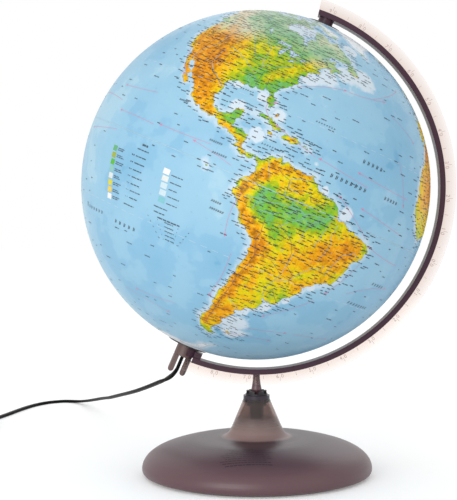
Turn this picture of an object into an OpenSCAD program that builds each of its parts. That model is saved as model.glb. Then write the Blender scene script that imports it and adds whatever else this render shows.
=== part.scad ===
// Illuminated desktop globe on a stand, as separate pieces. Millimetres, +Z up, table at z = 0.

/* [Ball] */
// outside diameter of the ball
ball_d = 300; // [200:1:400]
// wall thickness of the two half shells
ball_wall = 2.4; // [1.5:0.1:4]
// height of the ball centre over the table
ball_z = 251; // [200:1:320]
// tilt of the polar axis toward +X
tilt = 23.5; // [0:0.5:30]
// diameter of the thin disc on the north pole
pole_disc_d = 30; // [20:1:50]
// diameter of the flange on the south pole
flange_d = 35; // [28:1:50]

/* [Meridian] */
// hoop's inside radius over the ball's radius
hoop_gap = 6.9; // [6:0.1:12]
// radial thickness of the dark hoop
hoop_t = 4.5; // [4.5:0.1:12]
// how far the hoop's centre sits beside the ball's centre
hoop_dx = 1.8; // [0:0.1:3]
// how far the hoop's centre sits below the ball's centre
hoop_dz = 1.7; // [0:0.1:3]
// width of the hoop along Y
hoop_w = 16; // [10:1:24]
// radial height of the degree scale web outside the hoop
web_h = 9; // [5:0.5:14]
// thickness of the web
web_t = 2; // [1:0.1:3]
// where the top end is cut, from the stand axis
top_cut_x = 55.5; // [40:0.5:62]
// lean of that cut, in degrees
top_lean = 11; // [0:0.5:20]

/* [Stem and socket] */
// radius of the stem pin in the socket
pin_r = 4; // [3:0.1:5]
// running clearance of the turning fits
fit = 0.05; // [0.02:0.01:0.1]
// radius of the collar on the cone
collar_r = 11.4; // [10:0.1:14]
// radius of the snap crown
crown_r = 9.4; // [7:0.1:11]
// number of crown teeth
crown_teeth = 6; // [4:1:8]

/* [Base] */
// largest radius of the base
base_r = 100; // [80:1:120]
// height of the cone
cone_z = 66; // [55:1:80]
// height of the shell's lower edge over the table
lip_z = 1; // [0.5:0.1:3]

/* [Lampholder] */
// radius of the lampholder barrel inside the ball
barrel_r = 12.5; // [11:0.1:14]
// radius of the neck through the meridian end ring
neck_r = 8.2; // [7:0.1:9]
// radius of the bearing collar in the south flange
bearing_r = 9; // [8.5:0.1:10]
// distance from ball centre to the tips of the release tabs
tab_end = 176.5; // [170:0.5:185]
// radial thickness of one release tab
tab_t = 5.2; // [3:0.1:6]
// radius of the frosted dome of the bulb
bulb_r = 22.5; // [18:0.5:30]

/* [Cord] */
// width of the flat two core lead
lead_w = 5.4; // [4:0.1:8]
// thickness of the flat two core lead
lead_t = 3.2; // [2:0.1:5]
// centre of the coil on the table, X
coil_x = -336; // [-400:1:-250]
// centre of the coil on the table, Y
coil_y = 140; // [60:1:200]
// outside radius of the coil
coil_r = 37; // [30:1:50]
// inside radius of the coil
coil_in = 27; // [20:1:35]
// height of the coil
coil_h = 13; // [8:1:20]

/* [Switch and plug] */
// centre of the in-line switch, X
switch_x = -298; // [-350:1:-250]
// centre of the in-line switch, Y
switch_y = 228; // [180:1:300]
// length of the switch housing
switch_l = 58; // [45:1:75]
// width of the switch housing
switch_w = 22; // [18:1:30]
// X of the plug centreline
plug_x = -304; // [-350:1:-250]
// front face of the plug body, Y
plug_y = 42; // [20:1:60]
// length of the plug body
plug_l = 34; // [28:1:40]

/* [Hidden] */
$fn = 96;
ball_r = ball_d / 2;
hoop_in = ball_r + hoop_gap;
hoop_out = hoop_in + hoop_t;
web_out = hoop_out + web_h;
ring_in = ball_r + 1.5;
ring_out = 158.2;
ring_r = 10.75;
ring_cut = 8.8;
clip_front = 2.5;
clip_back = 6;
web_cut = 3;
boss_r = 6.5;
north_pin_r = 2.5;
stem_r = 2.96;
hoop_low = ball_z - hoop_dz - hoop_out;
pin_top = ring_in + 8;
sock_low = 48;
sock_floor = 50;
collar_top = cone_z + 3.4;
tube_r = 6;
nut_z = 60;
nut_r = 8.5;
top_plate = 2.4;
barrel_s = 108;
bulb_s = 75;
hinge_s = 160.2;
hinge_u = neck_r - tab_t / 2;
hinge_r = 1.5;
neck_s = 160.6;
grip_s = 137;
seam = 0.3;
lead_z = 1.65;
sw_mid = 7.5;
sw_top = 15.5;
rock_z = 14;
rock_turn = 8;
switch_turn = -101.6;

// ---- curves ----
function cr(a, b, c, d, t) = 0.5 * (2 * b + (c - a) * t + (2 * a - 5 * b + 4 * c - d) * t * t
    + (3 * b - a - 3 * c + d) * t * t * t);

function smooth(p, n) = concat([for (i = [0:len(p) - 2]) for (k = [0:n - 1])
    cr(p[max(i - 1, 0)], p[i], p[i + 1], p[min(i + 2, len(p) - 1)], k / n)], [p[len(p) - 1]]);

function unit(v) = v / norm(v);

// ---- frames ----
module at_ball() {
    translate([0, 0, ball_z])
        rotate([0, tilt, 0])
            children();
}

// local +z runs from the ball centre out through the south pole, local x stays on the +X side
module at_south() {
    at_ball()
        rotate([180, 0, 0])
            children();
}

module tube(r1, r2, z1, z2) {
    difference() {
        translate([0, 0, z1])
            cylinder(r = r2, h = z2 - z1);
        translate([0, 0, z1 - 1])
            cylinder(r = r1, h = z2 - z1 + 2);
    }
}

// ---- base ----
base_outer = smooth([[11.6, 66], [13.7, 60.8], [16, 55.5], [18.2, 50.3], [20.5, 44.6], [22.7, 40], [25.2, 36.2],
    [28.8, 33.7], [36, 32.7], [46, 32.4], [57, 31.6], [70, 28.8], [80, 25.8], [87, 22.8], [92, 19.8],
    [96, 16.3], [99, 11.6], [100, 6.6], [98.6, 2.8], [94, 1]], 3);
base_inner = smooth([[90.5, 3.4], [95.2, 4.6], [97, 7.6], [96.4, 11.1], [93.6, 14.9], [90, 17.8], [85.6, 20.4],
    [79.1, 23.3], [69.3, 26.4], [56.6, 29.2], [46, 30], [36, 30.3], [27.4, 31.7], [23, 35.2], [20.4, 39],
    [18.2, 43.6], [16, 49.4], [13.8, 54.6], [11.5, 59.8], [10.2, 62.8]], 3);

module base_shell() {
    color([0.42, 0.35, 0.36, 0.85])
        difference() {
            rotate_extrude($fn = 160)
                polygon(concat(base_outer, [[84, lip_z], [84, 3.4]], base_inner,
                    [[9.4, cone_z - top_plate], [tube_r, cone_z - top_plate], [tube_r, cone_z]]));
            tube(85.8, 91.2, lip_z - 1, lip_z + 1.2);
        }
}

module foot_ring() {
    color([0.12, 0.12, 0.12])
        tube(86, 91, 0, lip_z + 1.2);
}

module socket_tube() {
    color([0.24, 0.19, 0.26])
        difference() {
            union() {
                translate([0, 0, sock_low])
                    cylinder(r = tube_r, h = cone_z - sock_low + 1);
                translate([0, 0, cone_z])
                    cylinder(r = collar_r, h = collar_top - cone_z);
            }
            translate([0, 0, sock_floor])
                cylinder(r = pin_r + fit, h = 40);
        }
}

module socket_nut() {
    color([0.22, 0.18, 0.24])
        difference() {
            translate([0, 0, nut_z])
                cylinder(r = nut_r, h = cone_z - top_plate - nut_z);
            translate([0, 0, nut_z - 1])
                cylinder(r = tube_r, h = 10);
            for (a = [0:30:330])
                rotate([0, 0, a])
                    translate([nut_r, 0, nut_z - 1])
                        cylinder(r = 0.7, h = 10, $fn = 24);
        }
}

module socket_crown() {
    color([0.1, 0.09, 0.1])
        difference() {
            union() {
                tube(5, crown_r, collar_top, collar_top + 1.5);
                tube(5, crown_r - 0.6, collar_top, collar_top + 4);
            }
            for (i = [0:crown_teeth - 1])
                rotate([0, 0, 30 + i * 360 / crown_teeth])
                    translate([7, -1.7, collar_top + 1.5])
                        cube([8, 3.4, 8], center = false);
            for (i = [0:crown_teeth - 1])
                rotate([0, 0, 30 + i * 360 / crown_teeth])
                    translate([4, -1.7, collar_top + 1.5])
                        cube([4, 3.4, 8]);
        }
}

// ---- meridian ----
module hoop_band(r1, r2, w1, w2, a1, a2) {
    translate([hoop_dx, 0, ball_z - hoop_dz])
        rotate([90, 0, 0])
            rotate([0, 0, a1])
                rotate_extrude(angle = a2 - a1, $fn = 240)
                    polygon([[r1, w1], [r2, w1], [r2, w2], [r1, w2]]);
}

module meridian_arc() {
    color([0.36, 0.28, 0.31, 0.9])
        difference() {
            union() {
                difference() {
                    hoop_band(hoop_in, hoop_out, -hoop_w / 2, hoop_w / 2, -90 - tilt, 100 - tilt);
                    at_south()
                        translate([ring_cut - 40, -20, 140])
                            cube([40, 40, 40]);
                }
                difference() {
                    hoop_band(hoop_out - 0.5, web_out, hoop_w / 2 - web_t, hoop_w / 2, -90 - tilt, 100 - tilt);
                    at_south()
                        translate([web_cut - 40, -20, 140])
                            cube([40, 40, 40]);
                }
                at_south()
                    difference() {
                        translate([0, 0, ring_in])
                            cylinder(r = ring_r, h = ring_out - ring_in);
                        translate([-clip_back - 40, -20, ring_in - 1])
                            cube([40, 40, 40]);
                        translate([clip_front - 40, 0, ring_in - 1])
                            cube([40, 20, 40]);
                    }
                at_south()
                    translate([ring_cut, -hoop_w / 2 + 1.5, ring_in + 1])
                        cube([6.5, hoop_w - 3, hoop_in - ring_in + 2]);
                at_ball()
                    translate([0, 0, ring_in])
                        cylinder(r = boss_r, h = hoop_in - ring_in + 1);
            }
            at_south()
                translate([0, 0, ring_in - 5])
                    cylinder(r = neck_r, h = 14);
            at_ball()
                translate([0, 0, ring_in - 5])
                    cylinder(r = north_pin_r, h = pin_top - ring_in + 5);
            translate([0, 0, hoop_low - 2])
                cylinder(r = stem_r, h = 6);
            translate([top_cut_x, 0, ball_z + ball_r])
                rotate([0, top_lean, 0])
                    translate([-80, -30, -50])
                        cube([80, 60, 100]);
        }
}

module stem() {
    top = hoop_low + 4;
    color([0.4, 0.32, 0.35])
        rotate_extrude()
            polygon(concat([[0, sock_floor + 0.1], [pin_r - 0.8, sock_floor + 0.1],
                [pin_r, sock_floor + 1], [pin_r, 69.2], [3.6, 70], [3.6, 71.6]],
                smooth([[3.9, 72.4], [4.35, 74], [4.3, 75.4], [4, 77.3], [3.5, 80], [3.15, 83],
                    [stem_r, 86.5]], 4),
                [[stem_r, top], [0, top]]));
}

module north_pin() {
    color([0.75, 0.75, 0.77])
        at_ball()
            translate([0, 0, ball_r - 12])
                cylinder(r = north_pin_r, h = pin_top - ball_r + 12);
}

// ---- ball ----
module shell_ball() {
    difference() {
        sphere(r = ball_r, $fn = 160);
        sphere(r = ball_r - ball_wall, $fn = 160);
    }
}

module north_hemisphere() {
    color([0.62, 0.8, 0.9])
        at_ball()
            difference() {
                shell_ball();
                translate([-200, -200, seam - 400])
                    cube([400, 400, 400]);
                translate([0, 0, 100])
                    cylinder(r = 6, h = 100);
            }
}

module south_hemisphere() {
    color([0.62, 0.8, 0.9])
        at_ball()
            difference() {
                shell_ball();
                translate([-200, -200, -seam])
                    cube([400, 400, 400]);
                translate([0, 0, -200])
                    cylinder(r = 15.3, h = 100);
            }
}

module equator_ring() {
    color([0.9, 0.9, 0.88])
        at_ball()
            difference() {
                union() {
                    translate([0, 0, -4])
                        cylinder(r = ball_r - ball_wall - 0.1, h = 8, $fn = 160);
                    translate([0, 0, -seam])
                        cylinder(r = ball_r - 0.15, h = 2 * seam, $fn = 160);
                }
                translate([0, 0, -10])
                    cylinder(r = ball_r - ball_wall - 2, h = 20, $fn = 160);
            }
}

module north_bushing() {
    color([0.15, 0.13, 0.15])
        at_ball()
            difference() {
                union() {
                    translate([0, 0, ball_r - 13])
                        cylinder(r = 6, h = 14);
                    translate([0, 0, ball_r - 13])
                        cylinder(r = 10, h = 2);
                }
                translate([0, 0, ball_r - 20])
                    cylinder(r = north_pin_r + fit, h = 30);
            }
}

module cap_shell(r_disc, r_bore, t) {
    difference() {
        sphere(r = ball_r + t, $fn = 160);
        sphere(r = ball_r, $fn = 160);
        difference() {
            translate([0, 0, -200])
                cylinder(r = 200, h = 400);
            translate([0, 0, 100])
                cylinder(r = r_disc, h = 100);
        }
        translate([0, 0, -1])
            cylinder(r = r_bore, h = 300);
    }
}

module pole_disc() {
    color([0.13, 0.1, 0.12])
        at_ball()
            cap_shell(pole_disc_d / 2, 6, 1);
}

module south_bushing() {
    color([0.16, 0.14, 0.16])
        at_south()
            difference() {
                union() {
                    cap_shell(flange_d / 2, bearing_r, 1.1);
                    translate([0, 0, ball_r - 7])
                        cylinder(r = 15.3, h = 7);
                }
                translate([0, 0, 100])
                    cylinder(r = bearing_r + fit, h = 100);
            }
}

// ---- lampholder ----
module lampholder_body() {
    color([0.93, 0.92, 0.88])
        at_south()
            difference() {
                union() {
                    translate([0, 0, barrel_s])
                        cylinder(r = barrel_r, h = ball_r - 7.3 - barrel_s);
                    translate([0, 0, ball_r - 8])
                        cylinder(r = bearing_r, h = 8 + 1.5);
                    translate([0, 0, ball_r])
                        cylinder(r = neck_r, h = neck_s - ball_r);
                }
                translate([0, 0, barrel_s - 1])
                    cylinder(r = 7.4, h = 27);
                translate([0, 0, 120])
                    cylinder(r = 3.2, h = 60);
                for (s = [-1, 1])
                    translate([s * hinge_u, 0, hinge_s])
                        rotate([90, 0, 0])
                            cylinder(r = hinge_r + fit, h = 9.4, center = true, $fn = 48);
            }
}

module screw_shell() {
    color([0.8, 0.68, 0.36])
        at_south()
            tube(7, 7.4, barrel_s + 4, barrel_s + 24);
}

module centre_contact() {
    color([0.8, 0.68, 0.36])
        at_south()
            tube(1, 5, barrel_s + 25, barrel_s + 26);
}

module core_wires() {
    color([0.75, 0.45, 0.25])
        at_south()
            for (s = [-1, 1])
                translate([0, s * 1.35, barrel_s + 26])
                    cylinder(r = 0.8, h = grip_s - barrel_s - 26, $fn = 24);
}

module cord_grip() {
    color([0.15, 0.15, 0.15])
        at_south()
            difference() {
                translate([0, 0, grip_s])
                    cylinder(r = 3.2, h = 9);
                translate([-lead_t / 2, -lead_w / 2, grip_s - 1])
                    cube([lead_t, lead_w, 12]);
            }
}

module tab(s) {
    at_south()
        union() {
            intersection() {
                cylinder(r = neck_r, h = 200);
                union() {
                    translate([s * hinge_u - tab_t / 2, -5, neck_s + 0.6])
                        cube([tab_t, 10, tab_end - tab_t / 2 - neck_s - 0.6]);
                    translate([s * hinge_u, 0, tab_end - tab_t / 2])
                        rotate([90, 0, 0])
                            cylinder(r = tab_t / 2, h = 10, center = true, $fn = 48);
                }
            }
            translate([s * hinge_u - 1, -4.6, hinge_s])
                cube([2, 9.2, 1.4]);
            translate([s * hinge_u, 0, hinge_s])
                rotate([90, 0, 0])
                    cylinder(r = hinge_r, h = 9.2, center = true, $fn = 48);
        }
}

module release_tab_left() {
    color([0.34, 0.28, 0.28])
        tab(-1);
}

module release_tab_right() {
    color([0.34, 0.28, 0.28])
        tab(1);
}

// ---- bulb ----
module bulb_cap() {
    color([0.78, 0.78, 0.76])
        at_south()
            translate([0, 0, barrel_s - 0.2])
                cylinder(r = 6.95, h = 21.2);
}

module bulb_tip() {
    color([0.2, 0.2, 0.2])
        at_south()
            union() {
                translate([0, 0, barrel_s + 21])
                    cylinder(r1 = 6, r2 = 3.5, h = 2.5);
                translate([0, 0, barrel_s + 23.5])
                    cylinder(r = 2.4, h = 1.5);
            }
}

module bulb_housing() {
    color([0.95, 0.95, 0.95])
        at_south()
            rotate_extrude()
                polygon([[0, 84], [20.6, 84], [19.4, 90], [14, 99], [9.5, 105], [8, 107.8], [0, 107.8]]);
}

module bulb_dome() {
    color([0.97, 0.97, 0.94])
        at_south()
            difference() {
                translate([0, 0, bulb_s])
                    sphere(r = bulb_r);
                translate([0, 0, bulb_s])
                    sphere(r = bulb_r - 1);
                translate([-40, -40, 84])
                    cube([80, 80, 40]);
            }
}

// ---- cord ----
function south_pt(u, v, s) = [u * cos(tilt) - s * sin(tilt), v, ball_z - s * cos(tilt) - u * sin(tilt)];

lead_route = [south_pt(0, 0, 137), south_pt(0, 0, 152), south_pt(0, 0, 168), south_pt(0, 0.6, 175),
    [-73.2, 5, 85.8], [-78, 13, 82.2], [-83.6, 26, 78.6], [-90.6, 43, 73.7], [-101.4, 68, 66.6],
    [-113.3, 100, 59.1], [-126.2, 140, 50.9], [-139.6, 185, 42.3], [-155, 240, 32], [-170, 306, 21.5],
    [-184, 350, 13.5], [-198, 388, 6.5], [-212, 411, 2.4],
    [-228, 418, lead_z], [-244, 410, lead_z], [-256, 394, lead_z], [-265, 372, lead_z], [-272, 347, lead_z],
    [-278, 322, lead_z], [-284, 300, lead_z], [-288, 282, 2.6], [-290.6, 268, 5.6], [-292.2, 258, sw_mid]];
mid_route = [[-303.8, 198, sw_mid], [-304.6, 191, 5.8], [-304.8, 182, 2.8], [-304.6, 172, lead_z],
    [-304.4, 160, lead_z], [-304.2, 150, lead_z]];
tail_route = [[-304.5, 132, 9], [-304.3, 122, 8.2], [-304.1, 108, 6], [-304, 92, 4.6],
    [-304, plug_y + plug_l, 7]];

// flat oval section: the wide way stays level, across the run
function side(t) = unit(cross(t, [0, 0, 1]));
function rings(p, n) = [for (i = [0:len(p) - 1])
    let (t = unit(p[min(i + 1, len(p) - 1)] - p[max(i - 1, 0)]),
        w = side(t),
        u = cross(w, t))
    for (k = [0:n - 1])
        p[i] + w * (lead_w / 2) * cos(360 * k / n) + u * (lead_t / 2) * sin(360 * k / n)];

module run(p, n = 12) {
    m = len(p);
    polyhedron(points = rings(p, n),
        faces = concat([[for (k = [0:n - 1]) k]],
            [for (i = [0:m - 2]) for (k = [0:n - 1])
                [i * n + (k + 1) % n, i * n + k, (i + 1) * n + k, (i + 1) * n + (k + 1) % n]],
            [[for (k = [n - 1:-1:0]) (m - 1) * n + k]]),
        convexity = 8);
}

module cord_lead() {
    color([0.1, 0.1, 0.1])
        run(smooth(lead_route, 2));
}

module cord_mid() {
    color([0.1, 0.1, 0.1])
        run(smooth(mid_route, 2));
}

module cord_tail() {
    color([0.1, 0.1, 0.1])
        run(smooth(tail_route, 2));
}

module cord_coil() {
    color([0.1, 0.1, 0.1])
        translate([coil_x, coil_y, 0])
            tube(coil_in, coil_r, 0, coil_h);
}

module coil_tie() {
    color([0.2, 0.2, 0.2])
        translate([coil_x, coil_y + (coil_in + coil_r) / 2, coil_h / 2])
            difference() {
                cube([5, coil_r - coil_in + 3, coil_h], center = true);
                cube([6, coil_r - coil_in + 0.6, coil_h - 2], center = true);
            }
}

// ---- in-line switch ----
module at_switch() {
    translate([switch_x, switch_y, 0])
        rotate([0, 0, switch_turn])
            children();
}

module pod(l, w, z1, z2) {
    translate([0, 0, z1])
        linear_extrude(z2 - z1)
            union() {
                square([l - w, w], center = true);
                for (s = [-1, 1])
                    translate([s * (l - w) / 2, 0])
                        circle(r = w / 2, $fn = 64);
            }
}

module switch_base() {
    color([0.13, 0.13, 0.13])
        at_switch()
            difference() {
                pod(switch_l, switch_w, 0, sw_mid);
                pod(switch_l - 12, switch_w - 8, 2, sw_mid + 1);
                translate([-switch_l, -lead_w / 2 - 0.1, sw_mid - lead_t / 2 - 0.1])
                    cube([2 * switch_l, lead_w + 0.2, 10]);
                for (s = [-1, 1])
                    translate([s * 19.5, s * 6.4, 2])
                        cylinder(r = 1.2, h = 20, $fn = 32);
            }
}

module switch_cover() {
    color([0.13, 0.13, 0.13])
        at_switch()
            difference() {
                pod(switch_l, switch_w, sw_mid, sw_top);
                pod(switch_l - 12, switch_w - 8, sw_mid - 1, sw_top - 6);
                translate([-switch_l, -lead_w / 2 - 0.1, 0])
                    cube([2 * switch_l, lead_w + 0.2, sw_mid + lead_t / 2 + 0.1]);
                translate([-10.4, -5.4, 0])
                    cube([20.8, 10.8, 30]);
                translate([0, 0, rock_z - 3])
                    rotate([90, 0, 0])
                        cylinder(r = 1.2 + fit, h = 14, center = true, $fn = 32);
                for (s = [-1, 1])
                    translate([s * 19.5, s * 6.4, 0])
                        cylinder(r = 1.2, h = 14, $fn = 32);
            }
}

module switch_screws() {
    color([0.7, 0.7, 0.72])
        at_switch()
            for (s = [-1, 1])
                translate([s * 19.5, s * 6.4, 2])
                    cylinder(r = 1.2, h = 12, $fn = 32);
}

module switch_rocker() {
    color([0.75, 0.12, 0.1])
        at_switch()
            translate([0, 0, rock_z - 3])
                rotate([0, rock_turn, 0])
                    difference() {
                        union() {
                            rotate([90, 0, 0])
                                cylinder(r = 1.2, h = 13, center = true, $fn = 32);
                            translate([0, 5, 0])
                                rotate([90, 0, 0])
                                    linear_extrude(10)
                                        polygon([[-9.2, 0], [-2, -3], [2, -3], [9.2, 0], [9.2, 4], [8.6, 5.6],
                                            [0, 4.7], [-8.6, 5.6], [-9.2, 4]]);
                        }
                        translate([0, 0, -4])
                            cube([3, 4, 4], center = true);
                    }
}

// ---- plug ----
// flat-sided rounded bar along -Y, half width w and radius r, from y1 to y2 behind the cord end
module plug_bar(w, r, y1, y2) {
    translate([plug_x, plug_y + plug_l - y1, 7])
        rotate([90, 0, 0])
            linear_extrude(y2 - y1)
                union() {
                    square([2 * w, 2 * r], center = true);
                    for (s = [-1, 1])
                        translate([s * w, 0])
                            circle(r = r, $fn = 64);
                }
}

module plug_body() {
    color([0.12, 0.12, 0.12])
        difference() {
            union() {
                plug_bar(2.2, 4.2, 0, 5);
                plug_bar(4.5, 5.2, 5, 8.5);
                plug_bar(8.2, 6.3, 8.5, 11);
                plug_bar(10.8, 7, 11, plug_l);
            }
            for (s = [-1, 1])
                translate([plug_x + s * 9.3, plug_y - 1, 7])
                    rotate([-90, 0, 0])
                        cylinder(r = 2, h = 13, $fn = 48);
        }
}

module plug_pins() {
    color([0.8, 0.8, 0.8])
        for (s = [-1, 1])
            translate([plug_x + s * 9.3, plug_y + 12, 7])
                rotate([90, 0, 0])
                    cylinder(r = 2, h = 31, $fn = 48);
}

base_shell();
foot_ring();
socket_tube();
socket_nut();
socket_crown();
meridian_arc();
stem();
north_pin();
north_hemisphere();
south_hemisphere();
equator_ring();
north_bushing();
pole_disc();
south_bushing();
lampholder_body();
screw_shell();
centre_contact();
core_wires();
cord_grip();
release_tab_left();
release_tab_right();
bulb_cap();
bulb_tip();
bulb_housing();
bulb_dome();
cord_lead();
cord_mid();
cord_coil();
cord_tail();
coil_tie();
switch_base();
switch_cover();
switch_screws();
switch_rocker();
plug_body();
plug_pins();
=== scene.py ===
import bpy
import math
import random
import numpy as np
from mathutils import Vector, Matrix
from mathutils.bvhtree import BVHTree


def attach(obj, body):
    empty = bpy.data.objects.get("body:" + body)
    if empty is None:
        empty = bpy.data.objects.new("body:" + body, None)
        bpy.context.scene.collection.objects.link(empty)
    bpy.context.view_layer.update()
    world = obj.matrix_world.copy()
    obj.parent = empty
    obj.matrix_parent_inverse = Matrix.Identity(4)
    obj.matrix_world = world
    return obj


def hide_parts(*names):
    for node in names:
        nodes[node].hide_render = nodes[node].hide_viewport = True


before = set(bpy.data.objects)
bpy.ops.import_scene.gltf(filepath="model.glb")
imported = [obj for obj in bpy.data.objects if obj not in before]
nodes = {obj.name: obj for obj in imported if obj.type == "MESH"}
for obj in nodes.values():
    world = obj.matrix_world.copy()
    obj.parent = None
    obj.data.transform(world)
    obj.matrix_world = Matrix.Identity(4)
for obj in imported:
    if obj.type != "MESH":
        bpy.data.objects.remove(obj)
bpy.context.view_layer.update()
rnd = random.Random(7)

# ------------------------------------------------------------------ sizes, in metres
TILT = math.radians(23.5)
R = 0.150
C = Vector((0.0, 0.0, 0.251))
HC = C + Vector((0.0018, 0.0, -0.0017))                  # the hoop sits a little off the ball's centre
AX = Vector((math.sin(TILT), 0.0, math.cos(TILT)))      # north along the polar axis
UX = Vector((math.cos(TILT), 0.0, -math.sin(TILT)))     # towards +X, square to it
FX = Vector((0.0, -1.0, 0.0))                           # towards the camera
LON0 = -75.5

# ------------------------------------------------------------------ camera
cam_data = bpy.data.cameras.new("camera")
cam = bpy.data.objects.new("camera", cam_data)
bpy.context.scene.collection.objects.link(cam)
cam_data.sensor_width = 36.0
cam_data.lens = 95.45
cam.location = (0.0, -1.14991, 0.23635)
yaw, pitch, roll = math.radians(-1.178), math.radians(-2.027), math.radians(-0.35)
fwd = Vector((math.sin(yaw) * math.cos(pitch), math.cos(yaw) * math.cos(pitch), math.sin(pitch)))
right = Vector((math.cos(yaw), -math.sin(yaw), 0.0))
up = right.cross(fwd)
right, up = right * math.cos(roll) + up * math.sin(roll), up * math.cos(roll) - right * math.sin(roll)
cam.rotation_mode = "QUATERNION"
cam.rotation_quaternion = Matrix((right, up, -fwd)).transposed().to_quaternion()
bpy.context.scene.camera = cam


# ------------------------------------------------------------------ mesh helpers
def new_mesh(name, verts, faces, smooth=True):
    m = bpy.data.meshes.new(name)
    m.from_pydata([tuple(v) for v in verts], [], faces)
    m.update()
    if smooth:
        m.polygons.foreach_set("use_smooth", [True] * len(m.polygons))
    o = bpy.data.objects.new(name, m)
    bpy.context.scene.collection.objects.link(o)
    return o


def south_pt(u, v, s):
    """A point beside the polar axis: u towards +X, v along +Y, s out from the centre to the south."""
    return C + UX * u + Vector((0, v, 0)) - AX * s


def catmull(p, n):
    """A smooth curve through the points p, in n steps from each to the next."""
    out = []
    for i in range(len(p) - 1):
        a, b, c, d = p[max(i - 1, 0)], p[i], p[i + 1], p[min(i + 2, len(p) - 1)]
        for k in range(n):
            t = k / n
            out.append(0.5 * (2 * b + (c - a) * t + (2 * a - 5 * b + 4 * c - d) * t * t
                              + (3 * b - a - 3 * c + d) * t ** 3))
    out.append(p[-1])
    return out


# ------------------------------------------------------------------ cord
LEAD_W, LEAD_T = 0.0054, 0.0032


def mm(*p):
    return Vector(p) / 1000


route = [south_pt(0, v, s) for v, s in ((0, 0.137), (0, 0.152), (0, 0.168), (0.0006, 0.175))]
route += [mm(*p) for p in (
    (-73.2, 5, 85.8), (-78, 13, 82.2), (-83.6, 26, 78.6), (-90.6, 43, 73.7), (-101.4, 68, 66.6),
    (-113.3, 100, 59.1), (-126.2, 140, 50.9), (-139.6, 185, 42.3), (-155, 240, 32), (-170, 306, 21.5),
    (-184, 350, 13.5), (-198, 388, 6.5), (-212, 411, 2.4), (-228, 418, 1.7),
    (-244, 410, 1.7), (-256, 394, 1.7), (-265, 372, 1.7), (-272, 347, 1.7), (-278, 322, 1.7),
    (-284, 300, 1.7),
    (-288, 282, 2.6), (-290.6, 268, 5.6), (-292.2, 258, 7.5), (-298, 228, 7.5), (-303.8, 198, 7.5),
    (-304.6, 191, 5.8), (-304.8, 182, 3.2), (-304.6, 172, 2.8), (-304.4, 160, 2.8), (-304.2, 150, 2.8))]
COIL = Vector((-0.336, 0.140, 0.0))
turns = 5
lay_r = (0.0317, 0.0350, 0.0284, 0.0317, 0.0350, 0.0284)
lay_z = (0.0029, 0.0029, 0.0029, 0.0086, 0.0086, 0.0086)


def ease(t):
    return t * t * (3 - 2 * t)


coil_pts = []
steps = 26
for i in range(turns * steps + 1):
    k, f = divmod(i, steps)
    f = ease(f / steps)
    k2 = min(k + 1, turns)
    r = lay_r[k] * (1 - f) + lay_r[k2] * f
    z = lay_z[k] * (1 - f) + lay_z[k2] * f
    a = -2 * math.pi * i / steps
    r += 0.0003 * math.sin(3.1 * a + k)
    coil_pts.append(COIL + Vector((r * math.cos(a), r * math.sin(a), z)))
route += coil_pts
route += [mm(*p) for p in (
    (-304.2, 128, 8.4), (-304.2, 112, 6.2), (-304.1, 96, 4.8), (-304, 84, 6.4), (-304, 74, 7), (-304, 66, 7))]
cord_path = catmull(route, 3)
# drop points that fall too close together
NEAREST = 0.0015
slim = [cord_path[0]]
for p in cord_path[1:]:
    if (p - slim[-1]).length > NEAREST:
        slim.append(p)
cord_path = slim
# ease the first bend, just below the release tabs
for _ in range(12):
    cord_path = [(cord_path[i - 1] + p * 2 + cord_path[i + 1]) / 4
                 if 0.0003 < p.y < 0.09 and p.x > -0.15 else p
                 for i, p in enumerate(cord_path)]
# side direction: square to the tabs between them, level along the free lead, upright in the coil
TABS_END, TWIST_RUN = 0.004, 0.030      # how far back the lead leaves the tabs, and in how much it turns level
flat_n = len(cord_path)
sides = []
for i, p in enumerate(cord_path):
    t = (cord_path[min(i + 1, flat_n - 1)] - cord_path[max(i - 1, 0)]).normalized()
    free = ease(min(max((p.y - TABS_END) / TWIST_RUN, 0.0), 1.0))
    level = t.cross(Vector((0, 0, 1)) * free - UX * (1 - free)).normalized()
    in_coil = 1.0 if (p - COIL).xy.length < 0.0375 and 0.1 < p.y < 0.18 else 0.0
    sides.append([level, t.cross(level).normalized(), in_coil, t])
blendw = [s[2] for s in sides]
for _ in range(14):
    blendw = [(blendw[max(i - 1, 0)] + blendw[i] + blendw[min(i + 1, flat_n - 1)]) / 3 for i in range(flat_n)]
# cross-section: two round cores side by side with a shallow groove between
SECT_N = 20
lobe = LEAD_T / 2
cx = LEAD_W / 2 - lobe
sect = []
for k in range(SECT_N):
    a = 2 * math.pi * k / SECT_N
    x = math.cos(a)
    px = cx * (1 if x > 0 else -1) * min(1, abs(x) * 3) + lobe * x
    py = lobe * math.sin(a) * (1 - 0.22 * max(0.0, 1 - abs(x) * 4))
    sect.append((px, py))
verts, faces = [], []
for i, p in enumerate(cord_path):
    lv, uv, _, t = sides[i]
    w = blendw[i]
    side = (lv * (1 - w) + uv * (-w)).normalized()
    side = (side - t * side.dot(t)).normalized()
    nrm = side.cross(t).normalized()
    verts += [p + side * sx + nrm * sy for sx, sy in sect]
for i in range(flat_n - 1):
    here, there = i * SECT_N, (i + 1) * SECT_N
    for k in range(SECT_N):
        nxt = (k + 1) % SECT_N
        faces.append((here + k, here + nxt, there + nxt, there + k))
faces.append(tuple(range(SECT_N - 1, -1, -1)))
faces.append(tuple((flat_n - 1) * SECT_N + k for k in range(SECT_N)))
lead = new_mesh("power_lead", verts, faces)

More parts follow.
